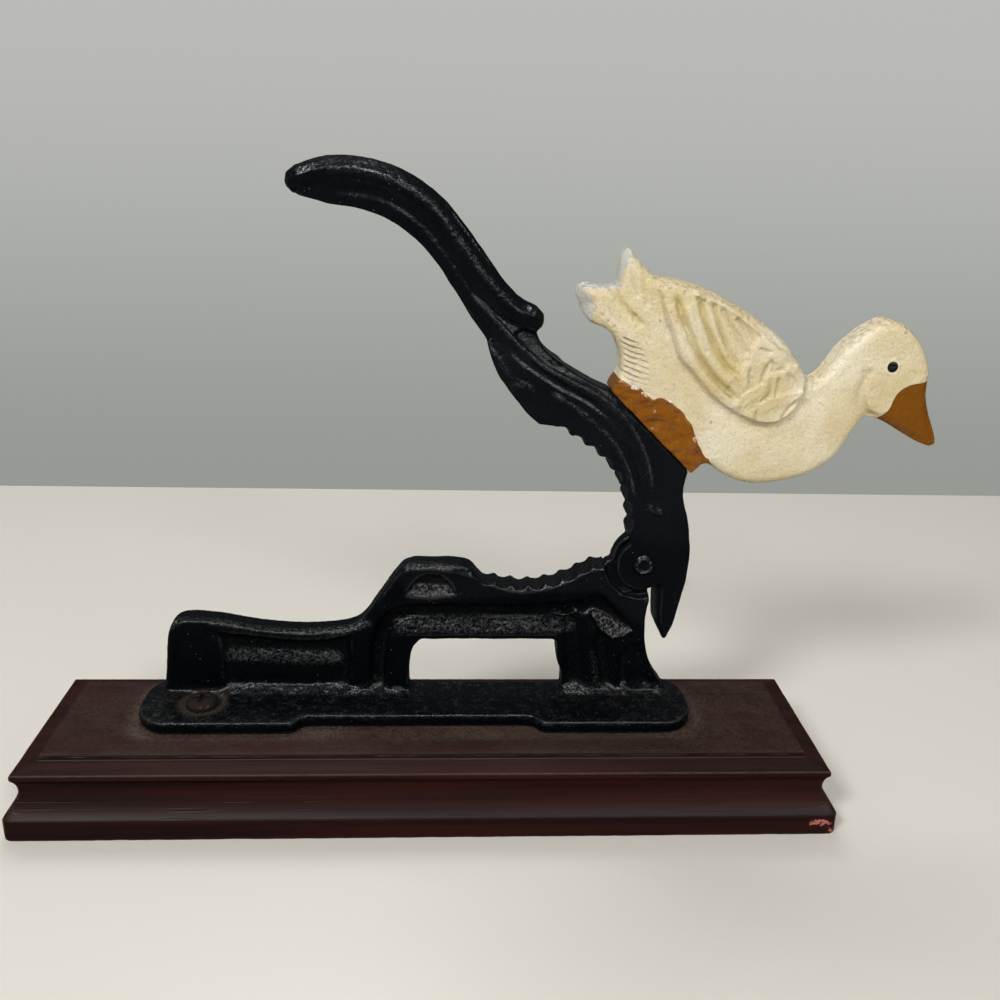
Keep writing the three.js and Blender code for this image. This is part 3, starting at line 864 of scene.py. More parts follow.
@dataclass(frozen=True)
class BlackIron(Finish):
    """Satin black paint over a sandy iron casting, with rubbed edges and grey dust in the hollows; its
    colour also carries painted sheen and painted glints.
    """

    name: str = "black_iron"
    paint: Colour = linear(3, 5, 8)
    worn_paint: Colour = linear(8, 9, 12)
    rubbed: Colour = linear(58, 58, 58)
    # Grit: the sandy cast surface, whose pale colour also stands as painted glints on rough bumps, ridges
    # and arrises.
    grit_and_glint: Colour = linear(104, 105, 103)
    # Painted sheen: a lighter paint laid where the jaws, the lever's arm and the rivet catch more light.
    lifted: Colour = linear(16, 18, 22)
    dust: Colour = linear(48, 46, 42)
    bare: Colour = linear(150, 148, 142)
    ring_dust: Colour = linear(58, 50, 42)
    gloss: float = 0.07
    bump_depth: float = 0.16

    def material(self) -> bpy.types.Material:
        """Makes the finish.

        Returns:
            The material.
        """
        material, board, shader, where = self.start(self.name)
        fine = shop.use(board, Effect.CAST_GRAIN, Vector=where, Scale=1500.0, Pitting=0.5)
        coarse = shop.use(board, Effect.CAST_GRAIN, Vector=where, Scale=760.0, Pitting=0.7)
        worn = shop.use(board, Effect.EDGE_WEAR, Edge=board.mark("edge"), Vector=where, Scale=900.0,
                        Amount=0.6)["Mask"]
        dusty = board.upward().spread(0.3, 0.95) * (board.mark("dusty") * 0.9 + 0.05)
        lying = shop.use(board, Effect.SETTLED_DUST, Hollow=board.mark("hollow") * 0.5, Vector=where,
                         Upward=dusty, Amount=1.0)["Mask"]
        specks = shop.use(board, Effect.SPECKS, Vector=where, Scale=1900.0, Share=0.008)["Mask"]
        rough, grain = board.mark("rough"), fine["Grain"]
        cloud = board.noise(where, 70.0, 4.0, 0.6)
        mealy = grain.spread(0.42, 0.66)
        colour = board.layered(
            self.paint,
            (cloud.spread(0.45, 0.75), self.worn_paint),
            # Painted sheen: this layer lightens the paint where the iron catches more light.
            (board.mark("tone") * cloud.spread(0.3, 0.6, 0.6, 1.0), self.lifted),
            (worn * 0.3, self.rubbed),
            (lying * (mealy + 0.06), self.dust),
            # Real grit and painted glints: a pale colour where the rough mark lies.
            ((rough * mealy * 0.5).clamped(), self.grit_and_glint),
            (specks * 0.22, self.bare),
            (board.mark("ring") * grain.spread(0.3, 0.6, 0.3, 0.9), self.ring_dust))
        sheen = (grain.spread(0.3, 0.7, 0.2, 0.32) + lying * 0.3).clamped()
        board.feed(shader, {"Base Color": colour, "Roughness": sheen, "Specular IOR Level": self.gloss})
        height = fine["Height"] * (rough * 0.3 + 0.22) + coarse["Height"] * (rough * 1.8 + 0.4)
        self.bump(board, shader, height, self.bump_depth)
        return material


@dataclass(frozen=True)
class GoosePaint(Finish):
    """Aged cream gloss on the goose, with a yellow wash in the wing and orange on saddle and bill."""

    name: str = "goose_paint"
    cream: Colour = linear(208, 190, 147)
    pale: Colour = linear(224, 213, 185)
    white: Colour = linear(192, 192, 186)
    wash: Colour = linear(196, 175, 108)
    # Colour of dirt, also used for painted shade on the goose's edges that face up or down.
    grime: Colour = linear(92, 78, 50)
    orange: Colour = linear(132, 78, 2)
    orange_deep: Colour = linear(98, 50, 2)
    bill: Colour = linear(120, 71, 8)
    black: Colour = linear(8, 8, 9)
    paint_line: float = 0.06
    gloss: float = 0.22
    saddle_coat: float = 0.7
    coat_roughness: float = 0.08
    bump_depth: float = 0.19
    cut_depth: float = 3.0
    hatch_gap: float = 1.28
    hatch_way: Point = (0.31, 0.95)

    def material(self) -> bpy.types.Material:
        """Makes the finish.

        Returns:
            The material.
        """
        material, board, shader, where = self.start(self.name)
        sand = shop.use(board, Effect.CAST_GRAIN, Vector=where, Scale=900.0, Pitting=0.5)
        dirt = shop.use(board, Effect.SETTLED_DUST, Hollow=board.mark("hollow"), Vector=where, Upward=0.0,
                        Amount=0.75)["Mask"]
        fine = shop.use(board, Effect.SPECKS, Vector=where, Scale=1700.0, Share=0.12)["Mask"]
        large = shop.use(board, Effect.SPECKS, Vector=where, Scale=620.0, Share=0.007)["Mask"]
        hair = shop.use(board, Effect.SCRATCHES, Vector=where, Scale=150.0, Share=0.3)["Mask"]
        grain, cut, eye, line = sand["Grain"], self.hatch(board, where), board.mark("eye"), self.paint_line
        cloud = board.noise(where, 60.0, 4.0, 0.6)
        mealy = board.noise(where, 3400.0, 2.0, 0.6).spread(0.5, 0.7)
        brushed = board.noise(board.stretched(where, (1.0, 1.0, 3.0), (0.0, 0.75, 0.0)), 260.0, 3.0, 0.6)
        saddle = (board.mark("saddle") + (brushed - 0.5) * 0.5).spread(-line, line)
        bill = board.mark("bill").spread(-line, line)
        colour = board.layered(
            self.cream,
            (cloud.spread(0.35, 0.68), self.pale),
            (board.mark("wash") * cloud.spread(0.7, 0.35, 0.55, 1.0), self.wash),
            ((board.mark("bared") + grain * 0.7).spread(0.5, 1.0) * 0.85, self.white),
            # Dirt in hollows, plus painted shade from the grime mark on edges that face up or down.
            ((dirt + board.mark("grime") * grain.spread(0.42, 0.62)).clamped() * 0.55, self.grime),
            (mealy * 0.3, self.grime),
            (cut * 0.6, self.grime),
            ((fine * 0.26 + large * 0.45 + hair * 0.3).clamped(), self.grime),
            (saddle, board.layered(self.orange_deep, (brushed.spread(0.2, 0.6), self.orange))),
            (bill, self.bill),
            (eye.spread(-0.62, -0.4) * 0.6, self.pale),
            (eye.spread(-line, line), self.black))
        painted = board.maths("MAXIMUM", saddle, bill)
        board.feed(shader, {"Base Color": colour,
                            "Roughness": grain.spread(0.3, 0.7, 0.4, 0.56) - painted * 0.24,
                            "Specular IOR Level": self.gloss,
                            "Coat Weight": saddle * self.saddle_coat,
                            "Coat Roughness": self.coat_roughness})
        height = sand["Height"] * painted.spread(0.0, 1.0, 1.0, 0.3) + brushed * saddle * 0.8
        self.bump(board, shader, height - cut * self.cut_depth, self.bump_depth)
        return material

    def hatch(self, board: Board, where: Signal) -> Signal:
        """Close slanting cuts across the goose's rump.

        Args:
            board: the material's board.
            where: its Object coordinates.

        Returns:
            The cuts' depth, 0 to 1.
        """
        across, up = (way * PER_METRE / self.hatch_gap for way in self.hatch_way)
        down = board.part(where, 0) * across + board.part(where, 2) * up
        wave = board.maths("FRACT", down + board.noise(where, 180.0, 2.0, 0.5) * 0.7)
        broken = board.noise(where, 420.0, 3.0, 0.6).spread(0.36, 0.56, 0.2, 1.0)
        return wave.spread(0.35, 0.8) * wave.spread(1.0, 0.88) * broken * board.mark("hatched")


@dataclass(frozen=True)
class StainedWood(Finish):
    """Dark reddish-brown stained wood with a dulled varnish, dusty on top and rubbed on its arrises."""

    name: str = "stained_wood"
    stain: Colour = linear(46, 20, 17)
    deep: Colour = linear(24, 10, 9)
    rubbed: Colour = linear(64, 42, 36)
    bare: Colour = linear(168, 100, 90)
    dust: Colour = linear(54, 42, 34)
    swept: Colour = linear(92, 80, 70)
    ledge: float = 18.3
    gloss: float = 0.06
    bump_depth: float = 0.06

    def material(self) -> bpy.types.Material:
        """Makes the finish. Less dust lies below the ledge, on the moulding.

        Returns:
            The material.
        """
        material, board, shader, where = self.start(self.name)
        grain = shop.use(board, Effect.WOOD_GRAIN, Vector=where, Fineness=1.0)
        worn = shop.use(board, Effect.EDGE_WEAR, Edge=board.mark("edge"), Vector=where, Scale=260.0,
                        Amount=0.55)["Mask"]
        torn = (board.noise(where, 1400.0, 3.0, 0.7) - 0.55) * 4.5
        cloud = board.noise(board.stretched(where, (0.6, 1.0, 1.0)), 110.0, 7.0, 0.75)
        mealy = board.noise(where, 1700.0, 3.0, 0.7)
        low, high = (self.ledge - 0.1) * MM, (self.ledge + 0.1) * MM
        lying = board.upward().spread(0.5, 0.95) * cloud.spread(0.3, 0.65, 0.3, 1.0)
        lying = lying * mealy.spread(0.4, 0.6, 0.3, 1.15) * board.part(where, 2).spread(low, high, 0.2, 1.0)
        colour = board.layered(
            self.deep,
            (grain["Streak"].spread(0.36, 0.64), self.stain),
            (grain["Pores"] * 0.6, self.deep),
            (worn * 0.7, self.rubbed),
            ((board.mark("chip") + torn).spread(-0.05, 0.25), self.bare),
            (lying * 0.75, self.dust),
            (board.mark("fringe") * mealy.spread(0.4, 0.6, 0.3, 1.0), self.swept))
        sheen = grain["Streak"].spread(0.3, 0.7, 0.5, 0.38) + lying * 0.3
        board.feed(shader, {"Base Color": colour, "Roughness": sheen, "Specular IOR Level": self.gloss})
        self.bump(board, shader, grain["Height"], self.bump_depth)
        return material


@dataclass(frozen=True)
class DullSteel(Finish):
    """Steel of a screw, mostly rusted over."""

    name: str = "rusty_steel"
    metal: Colour = linear(47, 36, 30)
    crust: Colour = linear(26, 19, 15)
    crust_from: float = 0.325
    crust_to: float = 0.425
    scale: float = 700.0
    gloss: float = 0.06
    bump_depth: float = 0.06

    def material(self) -> bpy.types.Material:
        """Makes the finish.

        Returns:
            The material.
        """
        material, board, shader, where = self.start(self.name)
        grain = shop.use(board, Effect.CAST_GRAIN, Vector=where, Scale=self.scale * 2, Pitting=0.5)
        worn = shop.use(board, Effect.EDGE_WEAR, Edge=board.mark("edge"), Vector=where, Scale=self.scale,
                        Amount=0.6)["Mask"]
        patches = board.noise(where, self.scale, 5.0, 0.7)
        crusted = (patches.spread(self.crust_from, self.crust_to) - worn).clamped()
        board.feed(shader, {"Base Color": board.layered(self.metal, (crusted, self.crust)),
                            "Metallic": crusted.spread(0.0, 1.0, 0.3, 0.1),
                            "Roughness": crusted.spread(0.0, 1.0, 0.5, 0.8),
                            "Specular IOR Level": self.gloss})
        self.bump(board, shader, grain["Height"], self.bump_depth)
        return material


# The pieces


@dataclass
class Plinth:
    """The moulded wooden board."""

    arris_softness: float = 0.28
    arris_angle: float = 20.0
    sharp_angle: float = 40.0
    shortest_arris: float = 30.0
    cut_gaps: Triple = (1.6, 1.6, 0.83)
    nicks: Lumps = ((Mottle(11, 5.0, 2), 0.12), (Mottle(12, 1.7), 0.06))
    corner: float = 2.2
    corner_fade: Point = (7.5, 5.4)
    top: float = 18.0
    nothing: float = -5.0
    fringe_round: float = 5.0
    fringe_fade: Point = (3.4, 0.6)
    turn_gain: float = 1.6
    chip_stretch: Triple = (0.6, 1.0, 1.3)
    chips: tuple[tuple[Triple, float], ...] = (
        ((95.2, -25.4, 3.6), 0.9), ((97.0, -25.4, 3.7), 1.1), ((98.6, -25.4, 3.0), 0.7),
        ((100.6, -25.4, 1.3), 0.9), ((101.4, -24.8, 0.8), 0.7))

    def build(self, finish: bpy.types.Material) -> bpy.types.Object:
        """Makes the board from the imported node, with softened and slightly nicked arrises.

        Args:
            finish: its material.

        Returns:
            The finished piece.
        """
        mesh = self.blank()
        skin = Skin(mesh)
        edge = np.clip(self.bend(mesh), 0, 1)
        skin.swell(-np.abs(lumpy(skin.place, self.nicks)) * edge)
        skin.marks.update(edge=edge, chip=self.chipped(skin), fringe=self.fringe(skin))
        self.round_corners(skin)
        piece = finished_piece(skin, "plinth_board", "plinth", "frame", finish)
        mesh.set_sharp_from_angle(angle=math.radians(self.sharp_angle))
        return piece

    def blank(self) -> bpy.types.Mesh:
        """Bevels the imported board's arrises and cuts it into small faces.

        Returns:
            The board's mesh.
        """
        form = copied_node("plinth")
        bmesh.ops.dissolve_limit(form, angle_limit=math.radians(0.5), verts=form.verts, edges=form.edges)
        crisp = [edge for edge in form.edges
                 if len(edge.link_faces) == 2 and edge.calc_face_angle(0) > math.radians(self.arris_angle)
                 and edge.calc_length() > self.shortest_arris * MM]
        bmesh.ops.bevel(form, geom=crisp, offset=self.arris_softness * MM, offset_type="OFFSET",
                        affect="EDGES", segments=2, profile=0.5, material=-1, clamp_overlap=True)
        low, high = (Vector(corner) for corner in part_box("plinth"))
        for axis, gap in enumerate(self.cut_gaps):
            normal = Vector([float(axis == other) for other in range(3)])
            place = low[axis] + gap * MM
            while place < high[axis]:
                bmesh.ops.bisect_plane(form, geom=form.verts[:] + form.edges[:] + form.faces[:], dist=1e-6,
                                       plane_co=normal * place, plane_no=normal)
                place += gap * MM
        bmesh.ops.triangulate(form, faces=[face for face in form.faces if len(face.verts) > 4])
        mesh = bpy.data.meshes.new("plinth_board")
        form.to_mesh(mesh)
        form.free()
        return mesh

    def chipped(self, skin: Skin) -> Array:
        """Where the front arris is chipped.

        Args:
            skin: the board's skin.

        Returns:
            How far inside a chip each point lies, in millimetres.
        """
        chip = np.full(len(skin.place), self.nothing)
        for middle, size in self.chips:
            gap = np.linalg.norm((skin.place - np.array(middle)) * np.array(self.chip_stretch), axis=1)
            chip = np.maximum(chip, size - gap)
        return chip

    def round_corners(self, skin: Skin) -> None:
        """Rounds the base's four upright corners, seen from above.

        Args:
            skin: the board's skin.
        """
        edge = np.abs(skin.place[:, :2]).max(axis=0)
        past = np.clip(np.abs(skin.place[:, :2]) - (edge - self.corner), 0, None)
        most, length = past.max(axis=1), np.linalg.norm(past, axis=1)
        cut = past * (1 - np.divide(most, length, out=np.ones(len(most)), where=length > 1e-9))[:, None]
        cut *= eased(skin.place[:, 2], *self.corner_fade)[:, None]
        skin.place[:, :2] -= np.sign(skin.place[:, :2]) * cut

    def fringe(self, skin: Skin) -> Array:
        """Pale dust that has gathered against the casting's flange.

        Args:
            skin: the board's skin.

        Returns:
            The dust's share at each point, 0 to 1.
        """
        low, high = (corner[:2] for corner in boxed("frame_casting"))
        past = np.abs(skin.place[:, :2] - (low + high) / 2) - (high - low) / 2 + self.fringe_round
        gap = np.linalg.norm(np.clip(past, 0, None), axis=1) - self.fringe_round
        patchy = 0.55 + 0.6 * Mottle(13, 9.0, 3)(skin.place)
        return 0.6 * np.clip(patchy, 0, 1) * eased(gap, *self.fringe_fade) * (skin.place[:, 2] > self.top)

    def bend(self, mesh: bpy.types.Mesh) -> Array:
        """How strongly the surface turns outwards.

        Args:
            mesh: the board's mesh.

        Returns:
            The turn at each point, from the faces that meet there.
        """
        form = bmesh.new()
        form.from_mesh(mesh)
        turns = np.zeros(len(form.verts))
        for edge in form.edges:
            if len(edge.link_faces) == 2:
                turn = edge.calc_face_angle_signed(0)
                for vert in edge.verts:
                    turns[vert.index] = max(turns[vert.index], turn)
        form.free()
        return turns * self.turn_gain


@dataclass
class FrameCasting:
    """The iron casting with flange, rest, lower jaw and leg. Its wall has relief in front."""

    voxel: float = 0.42
    front: float = 6.3
    pocket_levels: tuple[float, ...] = (7.6, 8.0)
    flange_top: float = 22.45
    end_trim: float = 0.9
    left_end: Point = (-66.0, -75.0)
    right_end: Point = (60.0, 69.0)
    tooth_reach: float = 2.6
    tooth_gain: float = 0.9
    lumps: Lumps = ((Mottle(21, 3.4, 2), 0.12), (Mottle(22, 1.1, 2), 0.05))
    rough_lumps: Lumps = ((Mottle(23, 1.5, 2), 0.2), (Mottle(24, 0.8), 0.26))
    sink: float = 0.05
    rest_recess: Panel = Panel(((-55.2, 40.0), (-47.0, 39.2), (-39.6, 38.2), (-33.5, 37.8), (-27.3, 38.0),
        (-20.6, 39.4), (-20.4, 36.4), (-20.2, 32.0), (-20.5, 27.0), (-20.2, 20.0), (-55.0, 20.0),
        (-54.6, 33.9)), -0.9, 2.6, -2.1)
    rest_rib: Stroke = Stroke(((-51.0, 31.9), (-44.2, 31.8), (-34.9, 31.5), (-25.0, 31.3)), 0.8, 1.5, 1.2,
        0.5)
    half_moon: Panel = Panel(((-7.0, 50.2), (-5.8, 52.3), (-3.6, 55.0), (-1.0, 56.2), (2.1, 55.9),
        (4.6, 53.8), (6.4, 50.5), (-0.4, 49.7)), -0.5, 0.7, -2.6)
    half_moon_lip: Stroke = Stroke(((-6.8, 50.0), (-0.4, 49.4), (6.4, 50.4)), 0.3, 0.4)
    leg_recess: Panel = Panel(((34.0, 47.6), (37.8, 49.0), (40.9, 50.1), (43.6, 50.6), (45.3, 49.5),
        (48.7, 45.6), (53.2, 40.4), (50.8, 38.6), (47.7, 38.0), (44.0, 40.6), (42.0, 44.6), (38.0, 44.4),
        (34.0, 44.4)), -2.3, 0.8)
    leg_facet: Panel = Panel(((40.0, 45.6), (42.6, 42.0), (44.0, 40.4), (47.7, 37.8), (50.8, 38.4),
        (53.4, 40.2), (49.0, 42.5), (45.3, 44.7), (41.6, 46.3)), 2.6, 0.8, 1.1, (0.45, 0.9))
    frame_groove: Stroke = Stroke(((-14.1, 24.0), (-14.0, 30.1), (-13.4, 36.0), (-11.9, 41.2), (-9.6, 43.9),
        (-5.0, 45.2), (2.2, 45.4), (12.5, 45.4), (22.9, 45.4), (30.7, 45.8), (36.4, 46.6)), -1.9, 0.6, 0.35,
        1.3)
    sill: Panel = Panel(((-8.8, 44.1), (10.0, 44.1), (37.6, 44.4), (38.6, 42.0), (37.6, 38.4),
        (-8.8, 38.4)), 0.7, 0.6, -1.9)
    brow: Panel = Panel(((36.6, 44.8), (39.0, 45.4), (41.8, 46.6), (43.6, 42.6), (42.6, 39.0),
        (37.2, 39.0)), 0.0, 0.7, -2.1)
    brow_corner: Point = (38.6, 45.4)
    brow_fade: Point = (3.6, 1.6)
    leg_step: Panel = Panel(((51.0, 35.6), (54.0, 36.3), (58.6, 36.8), (59.6, 29.0), (51.0, 29.0)), 0.0,
        0.5, -1.3)
    sill_post: Stroke = Stroke(((-10.7, 24.0), (-10.8, 30.0), (-10.4, 35.5), (-9.2, 39.6)), 0.35, 1.3)
    pier_ridge: Stroke = Stroke(((-10.4, 46.9), (-12.4, 44.4), (-15.0, 41.2), (-16.8, 37.2), (-17.4, 31.6),
        (-17.7, 24.4)), 0.2, 1.2, 1.8)
    flutes: tuple[Stroke, ...] = (
        Stroke(((36.8, 40.6), (37.2, 37.0), (37.7, 31.4), (38.2, 23.0)), -1.5, 2.0, 2.1, 0.5),
        Stroke(((44.9, 37.4), (45.5, 32.8), (46.4, 28.4), (47.3, 23.6)), -1.4, 1.3, 1.6, 0.2),
        Stroke(((51.6, 34.4), (51.0, 31.6), (51.2, 27.6), (51.8, 24.0)), -1.2, 0.7, 0.9, 0.1, fade=0.12),
        Stroke(((55.4, 32.8), (55.9, 28.6), (57.4, 24.6)), -0.8, 1.3),
    )
    leg_ridges: tuple[Stroke, ...] = (
        Stroke(((41.9, 38.6), (42.4, 34.4), (43.1, 30.4), (43.8, 26.4)), 0.2, 1.1),
        Stroke(((53.0, 33.6), (53.2, 30.5), (53.6, 26.8), (54.4, 24.4)), 0.1, 0.9),
        Stroke(((49.3, 50.9), (49.9, 51.0)), 1.1, 0.6),
        Stroke(((51.1, 51.4), (51.7, 51.3)), 1.1, 0.6),
    )
    jaw_rim: Stroke = Stroke(((-7.0, 57.2), (-2.0, 57.6), (3.0, 57.3), (9.2, 56.0), (15.4, 53.3),
        (19.6, 51.8), (23.8, 51.2), (27.9, 51.8), (32.0, 52.9), (36.0, 54.7), (39.0, 56.6), (42.1, 57.9),
        (44.4, 57.7)), 0.35, 0.35, 0.6)
    rest_arris: Path = (
        (-66.0, 42.3), (-64.3, 43.5), (-59.7, 44.0), (-49.2, 41.9), (-39.6, 40.7), (-29.4, 40.0),
        (-21.1, 40.8), (-16.9, 42.4))
    teeth: Path = (
        (13.6, 56.6), (18.0, 54.0), (23.0, 52.8), (28.0, 53.2), (34.0, 55.4), (40.0, 58.6), (45.0, 60.0))
    seams: tuple[Path, ...] = (
        ((-56.0, 23.4), (-53.6, 23.9), (-44.5, 24.3), (-35.1, 23.9), (-27.0, 24.2), (-25.1, 25.3),
            (-23.4, 24.9), (-21.0, 23.7), (-18.0, 24.4), (-15.1, 26.4), (-12.5, 24.6), (-8.3, 24.0),
            (-6.8, 23.4)),
        ((34.0, 24.4), (37.1, 24.4), (41.9, 25.5), (43.8, 28.3), (46.5, 24.1), (50.3, 23.7), (52.5, 24.0),
            (53.6, 27.3), (56.4, 25.1), (59.8, 25.0), (64.0, 23.4)),
    )
    seam_height: float = 1.0
    ring_reach: float = 6.4
    left_dust: Point = (-44.0, -66.0)
    right_dust: Point = (40.0, 58.0)
    sand_under: Point = (23.2, 22.7)
    sand_over: Point = (20.6, 21.6)
    # Partly painted glints: these strips and facets get the pale grit colour where the arrises, the rib and
    # the facet catch light.
    rough_and_glint_spots: tuple[Stroke | Panel, ...] = (
        Stroke(((-51.6, 32.4), (-46.0, 32.2), (-36.0, 31.8), (-25.4, 31.5)), 0.55, 0.8, level=1.2),
        Stroke(((-8.0, 41.4), (5.0, 41.6), (20.0, 41.6), (36.0, 41.8)), 0.5, 0.8, level=1.3),
        Panel(((41.2, 46.0), (42.8, 43.0), (44.0, 40.8), (47.7, 37.9), (50.8, 38.8), (53.2, 40.2),
            (49.2, 42.6), (45.5, 44.8)), 1.9, 0.9),
        Panel(((-6.4, 50.4), (-4.6, 53.0), (4.4, 52.8), (6.0, 50.6), (-0.4, 49.9)), 1.2, 0.5),
        Stroke(rest_arris, 1.1, 0.9),
        Stroke(((-6.6, 57.8), (0.0, 58.2), (6.0, 57.8)), 0.7, 0.6),
        Stroke(((42.6, 33.4), (43.2, 30.0), (43.8, 27.0)), 0.35, 0.8),
    )
    unworn: tuple[Stroke | Panel, ...] = (
        Panel(((32.0, 47.0), (44.0, 52.0), (54.0, 49.0), (62.0, 40.0), (62.0, 23.0), (32.0, 23.0)), 0.8,
            1.5),
        Panel(((-21.0, 44.0), (-14.0, 48.6), (-8.0, 47.0), (-8.0, 22.6), (-21.0, 22.6)), 0.8, 1.2),
        Stroke(((-14.0, 44.0), (-8.0, 47.4), (5.0, 47.6), (20.0, 47.6), (31.0, 48.0), (38.0, 49.4),
            (43.6, 51.0), (48.9, 45.8), (53.4, 40.4)), 0.8, 0.8, level=0.5),
        Stroke(((-9.0, 43.9), (14.0, 43.9), (38.0, 44.2)), 0.8, 0.5),
        Stroke(rest_arris, 0.6, 0.9),
        Panel(((9.2, 56.1), (15.4, 53.4), (19.6, 51.9), (23.8, 51.3), (27.9, 51.8), (32.0, 53.0),
            (36.0, 54.8), (39.0, 56.7), (42.1, 58.1), (45.0, 57.7), (47.0, 62.0), (44.0, 66.0),
            (36.0, 62.0), (28.0, 59.0), (20.0, 60.0), (12.0, 62.0)), 0.75, 0.4),
    )
    # Painted sheen: the field where the frame's lower jaw is painted lighter, as if it caught more light.
    tone_field: Panel = Panel(((-6.0, 47.6), (43.0, 51.2), (56.0, 40.0), (62.0, 52.0), (60.0, 66.0),
        (40.0, 62.0), (10.0, 58.0), (-12.0, 60.0)), 0.6, 1.5)

    def build(self, finish: bpy.types.Material) -> bpy.types.Object:
        """Makes the casting.

        Args:
            finish: its material.

        Returns:
            The finished piece.
        """
        skin = remeshed(self.levelled(), "frame_iron", self.voxel)
        skin.relax(2)
        self.trim_ends(skin)
        on_wall = eased(skin.place[:, 2], self.flange_top + 0.2, self.flange_top + 1.2)
        skin.sharpen(self.teeth, self.tooth_reach, self.tooth_gain)
        self.soften_rims(skin)
        relief = (self.rest_recess, self.rest_rib, self.half_moon, self.half_moon_lip, self.leg_recess,
                  self.leg_facet, self.brow, self.leg_step, self.frame_groove, self.sill, self.sill_post,
                  self.pier_ridge, *self.flutes, *self.leg_ridges, self.jaw_rim)
        skin.carve(summed(relief, skin.flat) * on_wall, (Face.FRONT,))
        gap = np.linalg.norm(skin.flat - np.array(self.brow_corner), axis=1)
        skin.soften(eased(gap, *self.brow_fade), 12)
        skin.relax(2, 0.35)
        seam = self.seam(skin)
        skin.swell(self.seam_height * seam * (0.5 + 0.7 * Mottle(25, 1.9, 2)(skin.place)))
        skin.soften(seam, 8)
        rough = self.roughness(skin, seam)
        lump = lumpy(skin.place, self.lumps)
        lump += rough * lumpy(skin.place, self.rough_lumps)
        skin.swell(lump - self.sink)
        skin.relax(1, 0.2)
        skin.mark_wear()
        skin.marks["edge"] *= 1 - np.clip(summed(self.unworn, skin.flat), 0, 1)
        skin.marks.update(rough=rough + self.sandiness(skin), dusty=self.dusty(skin), ring=self.ring(skin),
                          tone=self.tone_field.on(skin.flat))
        return finished_piece(skin, "frame_iron", "frame_casting", "frame", finish)

    def roughness(self, skin: Skin, seam: Array) -> Array:
        """How rough the wall's front is, on its ribs, rims and seam. The pale grit colour that it lays is
        partly painted glints.

        Args:
            skin: the casting's skin.
            seam: how much of the seam each point has.

        Returns:
            The roughness at each point, 0 to 1.4.
        """
        _, y, z = skin.place.T
        rough = summed(self.rough_and_glint_spots, skin.flat)
        rough *= eased(y, self.front + 3.5, self.front + 1.5) * eased(y, 1.5, 3.5)
        rough *= eased(z, self.flange_top, self.flange_top + 0.6)
        return np.clip(rough + seam * (0.24 + 0.24 * Mottle(28, 2.6, 2)(skin.place)), 0, 1.4)

    def sandiness(self, skin: Skin) -> Array:
        """How sandy the flange's top is; the pale grit colour that it lays is partly painted sparkle.

        Args:
            skin: the casting's skin.

        Returns:
            The roughness that the sand adds at each point.
        """
        z = skin.place[:, 2]
        sandy = np.clip(Mottle(29, 1.3, 2)(skin.place) + 0.15, 0, 1) * eased(z, *self.sand_under)
        return 0.4 * sandy * eased(z, *self.sand_over)

    def soften_rims(self, skin: Skin) -> None:
        """Rounds the front arris under the teeth and over the rest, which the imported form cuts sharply.

        Args:
            skin: the casting's skin.
        """
        for path, width in ((self.jaw_rim.path, 1.8), (self.rest_arris, 1.1)):
            in_front = eased(skin.place[:, 1], self.front + 1.8, self.front + 0.6)
            skin.soften(skin.near(path, width, 0.4) * in_front, 16)

    def seam(self, skin: Skin) -> Array:
        """The lumpy fillet where the wall's front meets the flange.

        Args:
            skin: the casting's skin.

        Returns:
            How much of the fillet each point has, 0 to 1.
        """
        x, y, z = skin.place.T
        value = np.zeros(len(x))
        ragged = 0.5 * Mottle(27, 1.5, 2)(skin.place)
        ahead = np.clip(self.front - y, 0, None) / 2.2
        for path in self.seams:
            line = np.array(path)
            rise = np.interp(x, line[:, 0], line[:, 1]) - self.flange_top
            first, last = line[0, 0], line[-1, 0]
            ends = eased(x, first - 0.5, first + 1.5) * eased(x, last + 0.5, last - 1.5)
            up = np.clip(z - self.flange_top, 0, None) / rise
            value = np.maximum(value, ends * eased(up + ahead + ragged, 1.15, 0.4))
        return value * (y < self.front + 3.0) * (z > self.flange_top - 1.0)

    def dusty(self, skin: Skin) -> Array:
        """How dusty the flange is, most at its two ends.

        Args:
            skin: the casting's skin.

        Returns:
            The dust's share at each point, 0 to 1.
        """
        x, _, z = skin.place.T
        value = eased(z, self.flange_top + 2.0, self.flange_top - 0.5)
        return value * (0.14 + 0.6 * eased(x, *self.left_dust) + 0.45 * eased(x, *self.right_dust))

    def ring(self, skin: Skin) -> Array:
        """Where brown dust lies round the screw's head.

        Args:
            skin: the casting's skin.

        Returns:
            The ring's share at each point, 0 to 1.
        """
        low, high = boxed("flange_screw")
        middle = (low + high) / 2
        gap = np.hypot(skin.place[:, 0] - middle[0], skin.place[:, 1] - middle[1])
        outer = self.ring_reach + 0.8 * Mottle(26, 3.0, 2)(skin.place)
        lying = eased(skin.place[:, 2], self.flange_top + 1.2, self.flange_top)
        return eased(gap - outer, 0.9, -1.2) * lying * (skin.place[:, 1] < self.front + 0.5)

    def levelled(self) -> bmesh.types.BMesh:
        """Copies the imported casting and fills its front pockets, ready for its own relief.

        Returns:
            The copy.
        """
        form = copied_node("frame_casting")
        for vert in form.verts:
            depth = vert.co.y * PER_METRE
            if any(abs(depth - level) < 0.04 for level in self.pocket_levels):
                vert.co.y = self.front * MM
        bmesh.ops.remove_doubles(form, verts=form.verts, dist=1e-6)
        bmesh.ops.dissolve_degenerate(form, edges=form.edges, dist=1e-6)
        return form

